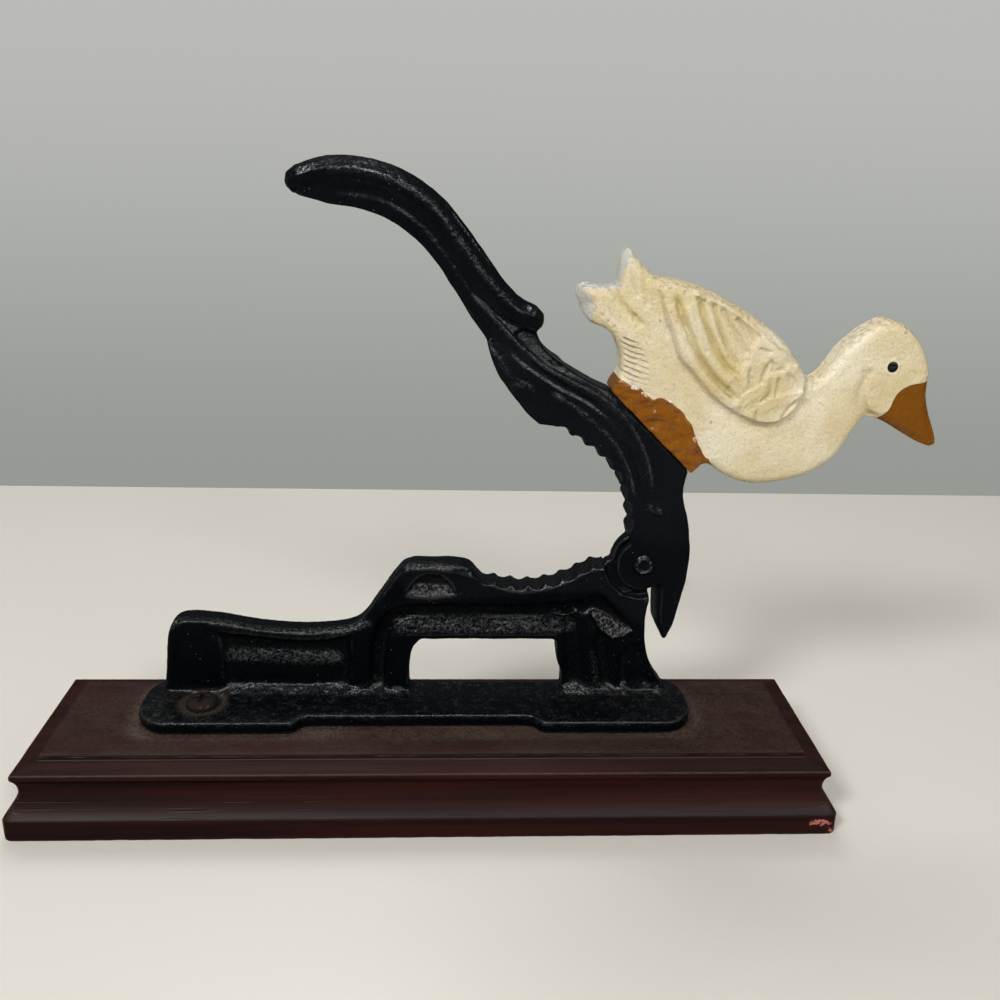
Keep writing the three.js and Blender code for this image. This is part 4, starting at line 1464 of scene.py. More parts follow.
    def trim_ends(self, skin: Skin) -> None:
        """Draws the flange's two ends in a little, where the sand took the corners.

        Args:
            skin: the casting's skin.
        """
        x, z = skin.place[:, 0], skin.place[:, 2]
        on_flange = eased(z, self.flange_top + 2.5, self.flange_top)
        inward = eased(x, *self.left_end) - eased(x, *self.right_end)
        skin.place[:, 0] += self.end_trim * on_flange * inward


@dataclass
class LeverCasting:
    """The iron lever with handle, upper jaw, forked knuckle and tail."""

    voxel: float = 0.34
    centre: float = 10.1
    web_half: float = 2.8
    jaw_half: float = 4.8
    bead_radius: float = 3.6
    bead_line: Path = (
        (-30.3, 151.4), (-24.2, 153.2), (-19.1, 153.4), (-13.4, 152.7), (-7.6, 150.5), (-1.3, 146.5),
        (4.0, 140.7), (8.7, 134.6), (13.6, 128.1), (18.3, 123.4), (23.0, 121.2))
    shoulder: Path = ((8.0, 114.6), (11.5, 115.0), (17.0, 116.0), (22.0, 117.2), (27.0, 119.0))
    packed_flutes: tuple[Path, ...] = (
        ((18.9, 119.2), (24.8, 112.4), (31.6, 107.5), (39.5, 103.1), (47.3, 96.7), (52.2, 89.8)),
        ((24.8, 106.5), (31.6, 102.6), (38.5, 98.2), (44.9, 91.8), (48.8, 85.9)),
    )
    teeth: Path = ((29.7, 95.7), (35.6, 92.3), (41.9, 87.5), (46.3, 81.6), (48.8, 74.6), (49.6, 68.3))
    upper_ridge: Path = (
        (8.4, 127.1), (12.4, 123.7), (16.4, 119.5), (19.6, 116.5), (24.5, 112.2), (27.8, 109.9),
        (33.5, 107.1), (40.1, 103.8), (46.4, 98.8), (50.6, 93.0), (53.6, 86.0), (55.2, 78.6))
    lower_ridge: Path = (
        (27.6, 104.6), (33.0, 101.6), (39.2, 97.2), (44.6, 91.8), (48.4, 85.0), (50.8, 77.4))
    ridges: tuple[Stroke, ...] = (
        Stroke(upper_ridge, 0.65, 0.5, 0.9, fade=0.06),
        Stroke(lower_ridge, 0.65, 0.5, 0.9, fade=0.08),
        Stroke(((9.8, 119.6), (14.6, 112.6), (18.6, 108.0), (24.0, 104.8)), 0.35, 0.7),
        Stroke(((54.6, 75.2), (55.8, 74.2), (57.2, 74.0)), 0.8, 1.1, 1.1),
    )
    grooves: tuple[Stroke, ...] = (
        Stroke(((-24.0, 149.4), (-14.0, 148.8), (-6.6, 145.8), (0.2, 140.2), (5.8, 132.6), (10.8, 126.0),
            (14.2, 122.8), (17.4, 120.9), (20.3, 119.3), (22.4, 118.4), (25.2, 117.6)), -0.5, 0.8, 0.9,
            fade=0.1),
        Stroke(((17.4, 115.6), (22.8, 110.8), (31.2, 105.6), (38.2, 102.0), (43.6, 97.6), (48.2, 91.6),
            (51.4, 84.6), (53.0, 78.0)), -0.75, 0.7, fade=0.12),
        Stroke(((30.0, 103.6), (36.0, 99.6), (41.8, 94.6), (46.4, 88.0), (49.4, 80.0)), -0.75, 0.8,
            fade=0.12),
    )
    tail_bevel: Panel = Panel(((57.6, 54.0), (59.6, 54.0), (60.0, 44.0), (62.0, 38.6), (60.4, 37.6),
        (57.4, 44.0)), -0.7, 1.2)
    bevel: Panel = Panel(((18.6, 116.2), (24.0, 111.4), (27.4, 109.2), (33.3, 106.4), (40.0, 103.2),
        (46.4, 99.2), (54.0, 100.0), (50.0, 107.0), (42.0, 111.0), (36.0, 114.0), (30.0, 118.0),
        (28.0, 120.6), (24.6, 118.8), (21.4, 119.6), (18.8, 118.6)), 0.4, 1.3, -3.4, (0.5, 0.86))
    # Partly painted glints: the ridges and the crest get the pale grit colour as a painted highlight.
    rough_and_glint_spots: tuple[Stroke, ...] = (
        Stroke(upper_ridge, 0.75, 0.35, 0.6, fade=0.06),
        Stroke(lower_ridge, 0.7, 0.35, 0.5, fade=0.1),
        Stroke(((17.8, 105.6), (20.4, 106.2), (24.4, 105.4)), 0.6, 0.6, fade=0.2),
        Stroke(((-13.8, 153.8), (-7.0, 151.6), (-1.3, 147.9), (2.2, 144.2), (5.6, 139.8), (9.4, 134.9),
            (13.4, 130.0), (17.5, 126.1), (20.9, 123.5)), 0.55, 0.5, level=0.2, fade=0.14),
    )
    crest: Path = (
        (-28.5, 153.2), (-24.7, 153.9), (-19.0, 154.3), (-13.8, 153.6), (-7.0, 151.4), (-1.3, 147.7),
        (2.2, 144.0), (5.6, 139.6), (9.4, 134.7), (13.4, 129.8), (17.5, 125.9), (20.9, 123.3),
        (24.3, 122.4))
    crest_start: Point = (0.0, 0.12)
    crest_end: Point = (1.0, 0.92)
    crest_fade: Point = (-1.6, -0.4)
    crest_slope: float = 0.28
    crest_round: float = 0.8
    crest_limit: float = 2.2
    tip_fade: Point = (42.4, 38.4)
    tip_line: float = 61.4
    tip_share: float = 0.5
    tail_from: float = 50.0
    # Painted sheen: the lever's arm between these heights is painted lighter, as if it caught more light.
    tone_top: Point = (124.0, 112.0)
    tone_foot: Point = (60.0, 76.0)
    tooth_reach: float = 2.4
    tooth_gain: float = 0.9
    lumps: Lumps = ((Mottle(31, 3.0, 2), 0.11), (Mottle(32, 1.0, 2), 0.045))
    sink: float = 0.05
    shoulder_step: Point = (5.0, -7.0)
    shoulder_fade: Point = (10.0, 8.0)
    blend_fade: Point = (8.0, 5.0)
    bead_fade: Point = (2.6, 3.8)

    def build(self, finish: bpy.types.Material) -> bpy.types.Object:
        """Makes the lever.

        Args:
            finish: its material.

        Returns:
            The finished piece.
        """
        skin = remeshed(copied_node("lever_casting"), "lever_iron", self.voxel)
        skin.relax(2)
        self.smooth_shoulder(skin)
        self.bevel_handle(skin)
        skin.sharpen(self.teeth, self.tooth_reach, self.tooth_gain)
        self.pinch_tip(skin)
        forms = (*self.ridges, *self.grooves, self.tail_bevel, self.bevel)
        skin.carve(summed(forms, skin.flat))
        rough = summed(self.rough_and_glint_spots, skin.flat) * (np.abs(skin.place[:, 1] - self.centre) > 1.5)
        lump = lumpy(skin.place, self.lumps)
        lump += rough * Mottle(33, 1.2, 2)(skin.place) * 0.25
        rough *= 0.7 + 0.5 * Mottle(34, 4.0, 2)(skin.place)
        skin.swell(lump - self.sink)
        skin.relax(1, 0.3)
        skin.mark_wear()
        z = skin.place[:, 2]
        skin.marks.update(rough=rough, dusty=np.zeros(len(rough)),
                          tone=0.45 + 0.5 * eased(z, *self.tone_top) * eased(z, *self.tone_foot))
        return finished_piece(skin, "lever_iron", "lever_casting", "lever", finish)

    def pinch_tip(self, skin: Skin) -> None:
        """Draws the tail's end in to a point.

        Args:
            skin: the lever's skin.
        """
        x, z = skin.place[:, 0], skin.place[:, 2]
        share = 1 - self.tip_share * eased(z, *self.tip_fade) * (x > self.tail_from)
        skin.place[:, 0] = self.tip_line + (x - self.tip_line) * share

    def bevel_handle(self, skin: Skin) -> None:
        """Slopes both sides of the handle inwards above the crest that runs along it.

        Args:
            skin: the lever's skin.
        """
        gap, side, share = reach(skin.flat, flowing(self.crest))
        ends = eased(share, *self.crest_start) * eased(share, *self.crest_end)
        above = gap * side
        rising = 0.5 * (above + np.hypot(above, self.crest_round)) * eased(above, *self.crest_fade)
        cut = self.crest_slope * np.clip(rising, 0, self.crest_limit) * ends
        skin.place[:, 1] -= (skin.place[:, 1] - self.centre) * cut

    def smooth_shoulder(self, skin: Skin) -> None:
        """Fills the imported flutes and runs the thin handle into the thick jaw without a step.

        Args:
            skin: the lever's skin.
        """
        spots = skin.flat
        offset = skin.place[:, 1] - self.centre
        depth = np.abs(offset)
        on_flute = np.minimum(*(reach(spots, flowing(path))[0] for path in self.packed_flutes)) < 1.5
        depth[on_flute & (depth > self.web_half + 0.6)] = self.jaw_half
        gap, side, _ = reach(spots, flowing(self.shoulder))
        wanted = self.web_half + (self.jaw_half - self.web_half) * eased(gap * side, *self.shoulder_step)
        bead = reach(spots, flowing(self.bead_line))[0]
        limit = np.maximum(wanted, np.sqrt(np.clip(self.bead_radius**2 - bead**2, 0, None)))
        on_face = (depth > self.web_half - 0.3) & (bead > 2.3)
        shaped = np.where(on_face, limit, np.minimum(depth, limit))
        depth += eased(gap, *self.shoulder_fade) * (shaped - depth)
        skin.place[:, 1] = self.centre + np.sign(offset) * depth
        softened = skin.relaxed(36)[:, 1] - skin.place[:, 1]
        skin.place[:, 1] += eased(gap, *self.blend_fade) * eased(bead, *self.bead_fade) * softened


@dataclass
class Goose:
    """The painted goose: a cast figure with swelling body, layered wing, saddle and painted parts."""

    voxel: float = 0.295
    ring_gap: float = 0.8
    nothing: float = -5.0
    centre: float = 10.1
    plate: float = 3.5
    rim: float = 2.7
    arris: float = 2.8
    arris_rise: float = 2.1
    crown: float = 0.5
    crown_reach: float = 7.0
    most: float = 7.15
    seat_thickness: float = 4.75
    wing_lift: float = 1.1
    feather_boost: float = 2.0
    pit_depth: float = 0.4
    cut_slope: float = 0.85
    cut_most: float = 3.4
    cuts_before: float = 47.0
    seat_fade: Point = (5.0, 1.5)
    saddle_limit: Point = (72.0, 112.0)
    bill_from: float = 104.0
    hatch_fade: Point = (53.0, 47.0)
    lumps: Lumps = ((Mottle(51, 2.6, 2), 0.1), (Mottle(52, 0.8, 2), 0.03))
    sink: float = 0.03
    eye_at: Point = (110.8, 112.1)
    eye_radius: float = 1.36
    outline: Path = (
        (42.9, 104.9), (43.4, 106.0), (44.9, 109.4), (44.9, 112.4), (44.2, 115.2), (42.6, 118.0),
        (40.4, 119.8), (37.9, 120.6), (36.2, 121.8), (34.6, 124.6), (33.5, 127.7), (34.9, 130.1),
        (37.5, 129.8), (40.4, 129.6), (42.7, 129.8), (43.3, 132.6), (43.6, 136.2), (44.9, 138.4),
        (46.2, 137.3), (47.6, 135.6), (49.6, 133.8), (52.1, 132.0), (56.1, 131.4), (63.4, 129.6),
        (70.6, 126.4), (78.2, 122.1), (84.1, 117.5), (88.1, 112.6), (90.6, 109.4), (92.4, 108.1),
        (94.3, 108.9), (96.6, 111.9), (99.2, 115.8), (103.4, 120.0), (107.4, 122.5), (109.8, 122.9),
        (113.7, 121.6), (118.2, 117.2), (120.8, 111.5), (121.1, 107.4), (121.4, 104.3), (122.6, 100.7),
        (124.3, 96.9), (125.5, 93.9), (125.6, 92.2), (124.4, 91.7), (120.5, 93.1), (115.6, 95.8),
        (112.9, 97.3), (109.4, 98.8), (106.4, 99.0), (104.0, 95.3), (100.5, 88.9), (94.4, 84.4),
        (86.6, 82.0), (79.0, 81.5), (72.5, 83.8), (68.5, 86.4), (66.4, 86.2), (65.2, 85.2), (64.2, 84.2),
        (63.4, 84.9), (53.4, 94.6), (43.6, 104.1))
    seat: Path = ((42.9, 104.7), (64.0, 84.4))
    wing_ring: Path = (
        (52.2, 130.4), (53.4, 126.1), (54.6, 122.6), (57.0, 117.5), (58.3, 113.7), (60.9, 110.9),
        (64.1, 107.3), (68.4, 103.2), (72.9, 100.3), (77.3, 98.4), (81.3, 97.7), (84.7, 98.5),
        (87.6, 101.0), (89.1, 104.5), (89.8, 108.0), (90.4, 114.4), (86.4, 120.0), (80.0, 126.0),
        (72.0, 131.4), (62.0, 135.2), (53.6, 136.0))
    feathers: tuple[Stroke, ...] = (
        Stroke(((56.3, 128.6), (58.1, 123.6), (60.1, 119.7), (62.1, 115.7), (64.7, 111.9), (67.9, 108.1),
            (71.4, 105.2), (74.1, 103.3)), -0.55, 0.7, fade=0.08),
        Stroke(((61.9, 128.0), (63.6, 122.3), (65.4, 118.6), (67.2, 115.1), (69.7, 112.0), (72.4, 109.6)),
            -0.5, 0.6, fade=0.08),
        Stroke(((64.8, 127.4), (66.4, 123.3), (68.3, 118.7), (70.7, 114.4), (73.1, 111.6)), -0.4, 0.55,
            fade=0.1),
        Stroke(((67.1, 125.6), (69.9, 121.7), (72.7, 117.6), (75.2, 114.3)), -0.42, 0.55, fade=0.1),
        Stroke(((70.9, 123.4), (73.6, 120.4), (75.9, 117.1)), -0.4, 0.55, fade=0.1),
        Stroke(((61.7, 128.4), (64.6, 127.0), (67.5, 126.3), (71.6, 123.9), (76.8, 120.0), (80.8, 116.7)),
            0.3, 0.6),
        Stroke(((59.4, 124.6), (61.6, 119.6), (64.0, 115.2), (67.0, 111.2), (70.4, 108.0)), 0.3, 1.1),
        Stroke(((65.4, 123.0), (67.2, 118.8), (69.4, 114.8)), 0.22, 0.7),
        Stroke(((55.6, 124.6), (57.8, 119.4), (60.2, 114.6), (64.0, 109.8), (68.6, 105.6), (73.0, 102.4)),
            0.3, 1.2),
    )
    coverts: tuple[Stroke | Panel, ...] = (
        Panel(((74.6, 113.6), (75.4, 117.3), (77.2, 119.0), (80.0, 117.6), (84.0, 115.4), (92.0, 110.0),
            (91.0, 104.0), (88.0, 97.0), (80.0, 95.0), (74.4, 100.0), (73.4, 104.6), (72.6, 108.8)), 0.3,
            0.8),
        Stroke(((75.3, 114.0), (76.4, 117.1), (77.4, 118.4), (79.5, 117.2),
            (82.4, 115.4)), 0.45, 0.42, 1.7),
        Stroke(((73.2, 108.7), (73.9, 111.4), (75.6, 113.1), (78.6, 114.3),
            (82.3, 115.6)), 0.45, 0.42, 1.7),
        Stroke(((74.2, 104.3), (76.4, 106.0), (78.5, 107.3), (79.7, 109.0), (81.1, 110.0), (83.2, 110.8),
            (85.0, 111.8), (86.9, 112.3)), 0.45, 0.42, 1.7),
        Stroke(((78.3, 102.4), (80.4, 103.6), (83.0, 104.4), (85.8, 105.2),
            (88.9, 105.8)), 0.45, 0.42, 1.7),
        Stroke(((79.8, 112.7), (79.1, 110.5), (78.7, 107.8)), -0.4, 0.5),
        Stroke(((79.3, 114.6), (80.8, 112.7), (81.4, 111.0), (84.0, 111.5)), -0.35, 0.45),
        Stroke(((82.6, 109.3), (82.7, 106.9), (82.5, 104.4)), -0.35, 0.45),
        Stroke(((79.2, 103.4), (78.2, 101.4), (78.3, 98.6)), -0.3, 0.45),
        Stroke(((88.4, 104.0), (86.2, 102.0), (84.8, 99.5)), -0.3, 0.45),
        Stroke(((75.2, 112.4), (75.6, 108.8), (77.0, 105.6)), -0.35, 0.55),
        Stroke(((80.6, 108.6), (81.0, 105.6), (80.0, 104.0)), -0.3, 0.6),
        Stroke(((77.4, 116.2), (79.4, 115.6), (81.2, 114.9)), -0.35, 0.5),
        Stroke(((84.4, 110.4), (86.4, 108.6), (88.2, 106.6)), -0.25, 0.6),
    )
    tail: tuple[Stroke, ...] = (
        Stroke(((41.6, 131.2), (43.0, 127.4), (45.1, 124.7), (47.3, 122.7), (49.8, 120.6)), -0.8, 0.55, 1.1,
            fade=0.1),
        Stroke(((48.2, 136.5), (49.1, 132.8), (49.1, 129.4), (50.2, 125.0)), -0.35, 0.6, fade=0.1),
        Stroke(((45.2, 135.6), (46.2, 131.6), (47.7, 127.1)), -0.35, 0.55, fade=0.1),
        Stroke(((38.6, 129.0), (39.8, 126.0), (42.0, 123.0), (44.6, 120.4)), -0.3, 0.7, fade=0.1),
        Stroke(((51.8, 130.6), (52.8, 126.0), (54.4, 120.4), (57.4, 113.8), (62.8, 107.4), (70.0, 100.6),
            (77.0, 97.0), (83.0, 96.4)), -0.35, 1.4, fade=0.05),
    )
    hatched: Path = (
        (43.6, 117.4), (45.2, 118.4), (49.0, 116.6), (51.4, 112.6), (52.6, 108.6), (53.4, 105.6),
        (50.0, 106.4), (46.6, 107.4), (44.6, 109.4), (45.3, 112.4))
    tail_cut: Path = ((34.8, 131.4), (35.3, 129.0), (37.7, 125.8), (37.2, 121.4))
    upper_cut: Path = ((46.0, 137.8), (44.8, 134.9), (43.8, 131.6), (43.3, 129.4))
    cuts: tuple[tuple[Path, Point], ...] = ((tail_cut, (119.0, 130.9)), (upper_cut, (129.6, 140.0)))
    head: tuple[Stroke, ...] = (
        Stroke(((106.4, 112.0), (104.9, 108.2), (104.7, 104.4), (106.6, 101.0), (110.2, 99.3)), -1.0, 0.5,
            1.6, fade=0.12),
        Stroke(((110.5, 109.6), (109.4, 106.4), (108.6, 103.4), (108.2, 100.6)), -0.12, 0.25),
        Stroke(((92.6, 104.0), (96.0, 106.8), (99.4, 110.6)), -0.2, 1.4),
    )
    saddle_edge: Path = (
        (36.0, 112.0), (43.8, 108.4), (46.3, 107.2), (48.0, 106.0), (49.6, 105.9), (51.4, 104.3),
        (53.1, 103.4), (55.0, 103.5), (57.3, 102.7), (58.8, 101.4), (60.4, 100.3), (61.6, 98.4),
        (63.0, 97.0), (64.0, 94.6), (64.9, 92.6), (66.2, 90.4), (67.2, 88.8), (68.8, 87.3), (72.0, 80.0))
    bill_edge: Path = (
        (124.0, 109.2), (118.9, 108.2), (116.3, 107.7), (114.0, 106.4), (112.6, 104.4), (111.8, 101.6),
        (110.2, 99.7), (107.6, 96.4))
    pits: tuple[Dot, ...] = (Dot(61.4, 127.6, 0.45), Dot(63.2, 127.2, 0.4), Dot(66.0, 126.4, 0.5),
        Dot(76.2, 109.2, 0.35), Dot(70.8, 106.5, 0.3), Dot(44.0, 138.4, 0.5), Dot(39.5, 123.0, 0.35),
        Dot(41.1, 121.8, 0.35), Dot(42.7, 120.5, 0.35), Dot(47.2, 123.2, 0.4), Dot(53.2, 130.0, 0.3),
        Dot(54.9, 129.7, 0.3), Dot(58.3, 128.9, 0.4), Dot(65.6, 109.6, 0.35))
    chips: tuple[Dot, ...] = (Dot(47.6, 106.9, 0.6), Dot(49.4, 106.3, 0.5), Dot(50.9, 105.5, 0.45))
    bare_strokes: tuple[Stroke, ...] = (
        Stroke(((34.0, 130.6), (37.6, 130.2), (42.4, 130.2)), 1.0, 0.9, level=0.4),
        Stroke(((89.6, 109.7), (91.7, 109.9), (94.2, 111.0)), 0.8, 1.2),
    )
    wing_wash: Panel = Panel(((74.0, 116.0), (79.0, 118.0), (88.0, 106.0), (84.0, 99.0), (75.0, 101.0)),
        0.28, 3.0)

    def build(self, finish: bpy.types.Material) -> bpy.types.Object:
        """Makes the goose.

        Args:
            finish: its material.

        Returns:
            The finished piece.
        """
        skin = remeshed(self.blank(), "goose_shape", self.voxel)
        skin.relax(2)
        spots = skin.flat
        half = self.half_thickness(spots)
        side = np.clip((skin.place[:, 1] - self.centre) / self.plate, -1, 1)
        skin.place[:, 1] = self.centre + side * half
        skin.relax(2, 0.35)
        saddle, bill, eye = self.painted(skin.flat)
        skin.carve(self.relief(skin, saddle, bill, eye))
        skin.swell(lumpy(skin.place, self.lumps) - self.sink)
        skin.place[:, 1] = self.centre + np.clip(skin.place[:, 1] - self.centre, -self.most, self.most)
        skin.relax(1, 0.25)
        skin.mark_wear()
        hatched = eased(inside(skin.flat, flowing(self.hatched, self.ring_gap, closed=True)), 0.0, 0.9)
        hatched *= eased(skin.place[:, 0], *self.hatch_fade)
        skin.marks.update(saddle=saddle, bill=bill, eye=eye, hatched=hatched, wash=self.wash(skin.flat),
                          grime=self.grime(skin), bared=self.bared(skin.flat))
        return finished_piece(skin, "goose_shape", "goose_figure", "lever", finish)

    def blank(self) -> bmesh.types.BMesh:
        """Makes the goose as a plain plate.

        Returns:
            The plate, in metres.
        """
        form = bmesh.new()
        ring = flowing(self.outline, self.ring_gap, closed=True)
        corners = [form.verts.new((x * MM, (self.centre - self.plate) * MM, z * MM)) for x, z in ring]
        drawn = bmesh.ops.extrude_face_region(form, geom=[form.faces.new(corners)])["geom"]
        moved = [item for item in drawn if isinstance(item, bmesh.types.BMVert)]
        bmesh.ops.translate(form, verts=moved, vec=(0, 2 * self.plate * MM, 0))
        bmesh.ops.recalc_face_normals(form, faces=form.faces)
        return form

    def half_thickness(self, spots: Array) -> Array:
        """Half the body's thickness before any relief, thin at the tail's cut ends.

        Args:
            spots: rows of (x, z).

        Returns:
            Half the thickness at each spot.
        """
        depth = inside(spots, flowing(self.outline, self.ring_gap, closed=True))
        near = np.clip(depth / self.arris, 0, 1)
        half = self.rim + self.arris_rise * np.sqrt(1 - (1 - near) ** 2)
        half += self.crown * (1 - np.exp(-np.clip(depth, 0, None) / self.crown_reach))
        seated = eased(reach(spots, np.array(self.seat))[0], *self.seat_fade)
        half += seated * (self.seat_thickness - half)
        return half - self.cut_slope * np.clip(self.beyond_cuts(spots), 0, self.cut_most)

    def beyond_cuts(self, spots: Array) -> Array:
        """How far each spot lies past the lines where the two tail feathers are cut off.

        Args:
            spots: rows of (x, z).

        Returns:
            The distance past the nearer line, negative before both.
        """
        value = np.full(len(spots), self.nothing)
        for path, (low, high) in self.cuts:
            gap, side, _ = reach(spots, flowing(path, 0.3))
            held = (spots[:, 1] > low) & (spots[:, 1] < high) & (spots[:, 0] < self.cuts_before)
            value = np.maximum(value, np.where(held, -side * gap, self.nothing))
        return value

    def painted(self, spots: Array) -> tuple[Array, Array, Array]:
        """How far each spot lies inside the painted parts.

        Args:
            spots: rows of (x, z).

        Returns:
            The depth inside the saddle, the bill and the eye, in millimetres.
        """
        gap, side, _ = reach(spots, flowing(self.saddle_edge, 0.5))
        saddle = -side * gap
        saddle[np.any(spots > np.array(self.saddle_limit), axis=1)] = self.nothing
        gap, side, _ = reach(spots, flowing(self.bill_edge, 0.5))
        bill = side * gap
        bill[spots[:, 0] < self.bill_from] = self.nothing
        eye = self.eye_radius - np.linalg.norm(spots - np.array(self.eye_at), axis=1)
        return saddle, bill, eye

    def relief(self, skin: Skin, saddle: Array, bill: Array, eye: Array) -> Array:
        """The wing, the tail, the head and the thickness of the paint.

        Args:
            skin: the swelled plate.
            saddle: how far inside the saddle each point lies.
            bill: the same for the bill.
            eye: the same for the eye.

        Returns:
            The relief at each point.
        """
        spots = skin.flat
        wing = inside(spots, flowing(self.wing_ring, self.ring_gap, closed=True))
        on_wing = eased(wing, -0.05, 0.6)
        height = self.wing_lift * on_wing
        height += self.feather_boost * on_wing * summed((*self.feathers, *self.coverts), spots)
        height += summed((*self.tail, *self.head), spots) * (1 - on_wing)
        lumps = Mottle(54, 2.3, 2)(skin.place)
        height += eased(saddle, -0.1, 0.3) * (0.1 + 0.85 * lumps)
        height += 0.4 * np.exp(-((saddle - 0.6) / 0.45) ** 2)
        height -= 0.25 * eased(bill, -0.1, 0.35) + 0.9 * eased(bill, 2.0, 15.0)
        height += 0.3 * eased(eye, -0.15, 0.5) + 0.12 * np.exp(-((eye + 0.4) / 0.25) ** 2)
        for pit in self.pits:
            height -= self.pit_depth * pit.on(spots)
        return height

    def wash(self, spots: Array) -> Array:
        """How much yellow lies in the feather grooves.

        Args:
            spots: rows of (x, z).

        Returns:
            The yellow's share at each spot, 0 to 1.
        """
        grooves = (*self.feathers[:3], *self.tail[:2])
        sizes = ((0.6, 1.3), (0.75, 1.1), (0.4, 0.8), (0.5, 2.2), (0.3, 2.4))
        washed = [Stroke(groove.path, height, width) for groove, (height, width) in zip(grooves, sizes)]
        return np.clip(summed((*washed, self.wing_wash), spots), 0, 1)

    def grime(self, skin: Skin) -> Array:
        """Painted shade on the back edge and the belly's edge, darker where the skin faces up or down, with
        dirt on the rims of the cut feathers and in the pits.

        Args:
            skin: the carved goose.

        Returns:
            The dirt and painted shade at each point, 0 to 1.5.
        """
        # Painted shade: edges that face up or down are darkened.
        facing_up = skin.normals()[:, 2]
        value = 0.85 * eased(facing_up, 0.35, 0.8) + 0.5 * eased(facing_up, -0.35, -0.9)
        value += 0.6 * np.exp(-(self.beyond_cuts(skin.flat) / 0.35) ** 2)
        for pit in self.pits:
            value += 1.3 * pit.on(skin.flat)
        return np.clip(value, 0, 1.5)

    def bared(self, spots: Array) -> Array:
        """Where the cream shows white: the tail's cut ends, the neck's nick and the chips by the saddle.

        Args:
            spots: rows of (x, z).

        Returns:
            The white's share at each spot, 0 to 1.
        """
        value = eased(self.beyond_cuts(spots), -0.3, 0.8)
        for bare in self.bare_strokes:
            value = np.maximum(value, bare.on(spots))
        for chip in self.chips:
            value = np.maximum(value, eased(chip.gap(spots), chip.size, chip.size * 0.7))
        return value


@dataclass
class SmallSteel:
    """A screw or the rivet, softened by wear and paint."""

    name: str
    node: str
    body: str
    slot: str
    voxel: float = 0.16
    seed: int = 41
    ring_height: float = 0.0

    def build(self, finish: bpy.types.Material) -> bpy.types.Object:
        """Makes the piece from its packed form.

        Args:
            finish: its material.

        Returns:
            The finished piece.
        """
        skin = remeshed(copied_node(self.node), self.name, self.voxel)
        skin.relax(2)
        if self.ring_height:
            ring = self.ringed(skin)
            skin.carve(self.ring_height * ring, (Face.FRONT,))
            # Painted glints: the rivet's ring gets the pale grit colour.
            skin.marks["rough"] = 1.2 * np.clip(ring, 0, 1)
            # Painted sheen on the rivet's head.
            skin.marks["tone"] = np.full(len(ring), 0.7)
        skin.swell(Mottle(self.seed, 0.9, 2)(skin.place) * 0.03 - 0.02)
        skin.mark_wear(8)
        return finished_piece(skin, self.name, self.node, self.body, finish)

    def ringed(self, skin: Skin) -> Array:
        """A raised ring on the head with a sunk middle, as the riveting tool leaves it.

        Args:
            skin: the piece's skin.

        Returns:
            The ring's share at each point, -1 to 1.
        """
        low, high = skin.flat.min(axis=0), skin.flat.max(axis=0)
        share = np.linalg.norm(skin.flat - (low + high) / 2, axis=1) / (high - low).max() * 2
        return np.exp(-((share - 0.66) / 0.12) ** 2) - 0.8 * eased(share, 0.5, 0.25)


@dataclass(frozen=True)
class Lamp:
    """A round area lamp in metres and watts that looks at the object. A glint shows only in gloss."""

    name: str
    place: Triple
    size: float
    power: float
    glint: bool = False

    def hang(self, target: Vector) -> None:
        """Hangs the lamp.

        Args:
            target: the place that it looks at.
        """
        data = bpy.data.lights.new(self.name, "AREA")
        data.shape = "DISK"
        data.size = self.size
        data.energy = self.power
        lamp = bpy.data.objects.new(self.name, data)
        bpy.context.collection.objects.link(lamp)
        lamp.location = self.place
        lamp.visible_diffuse = not self.glint
        lamp.rotation_euler = (target - Vector(self.place)).to_track_quat("-Z", "Y").to_euler()


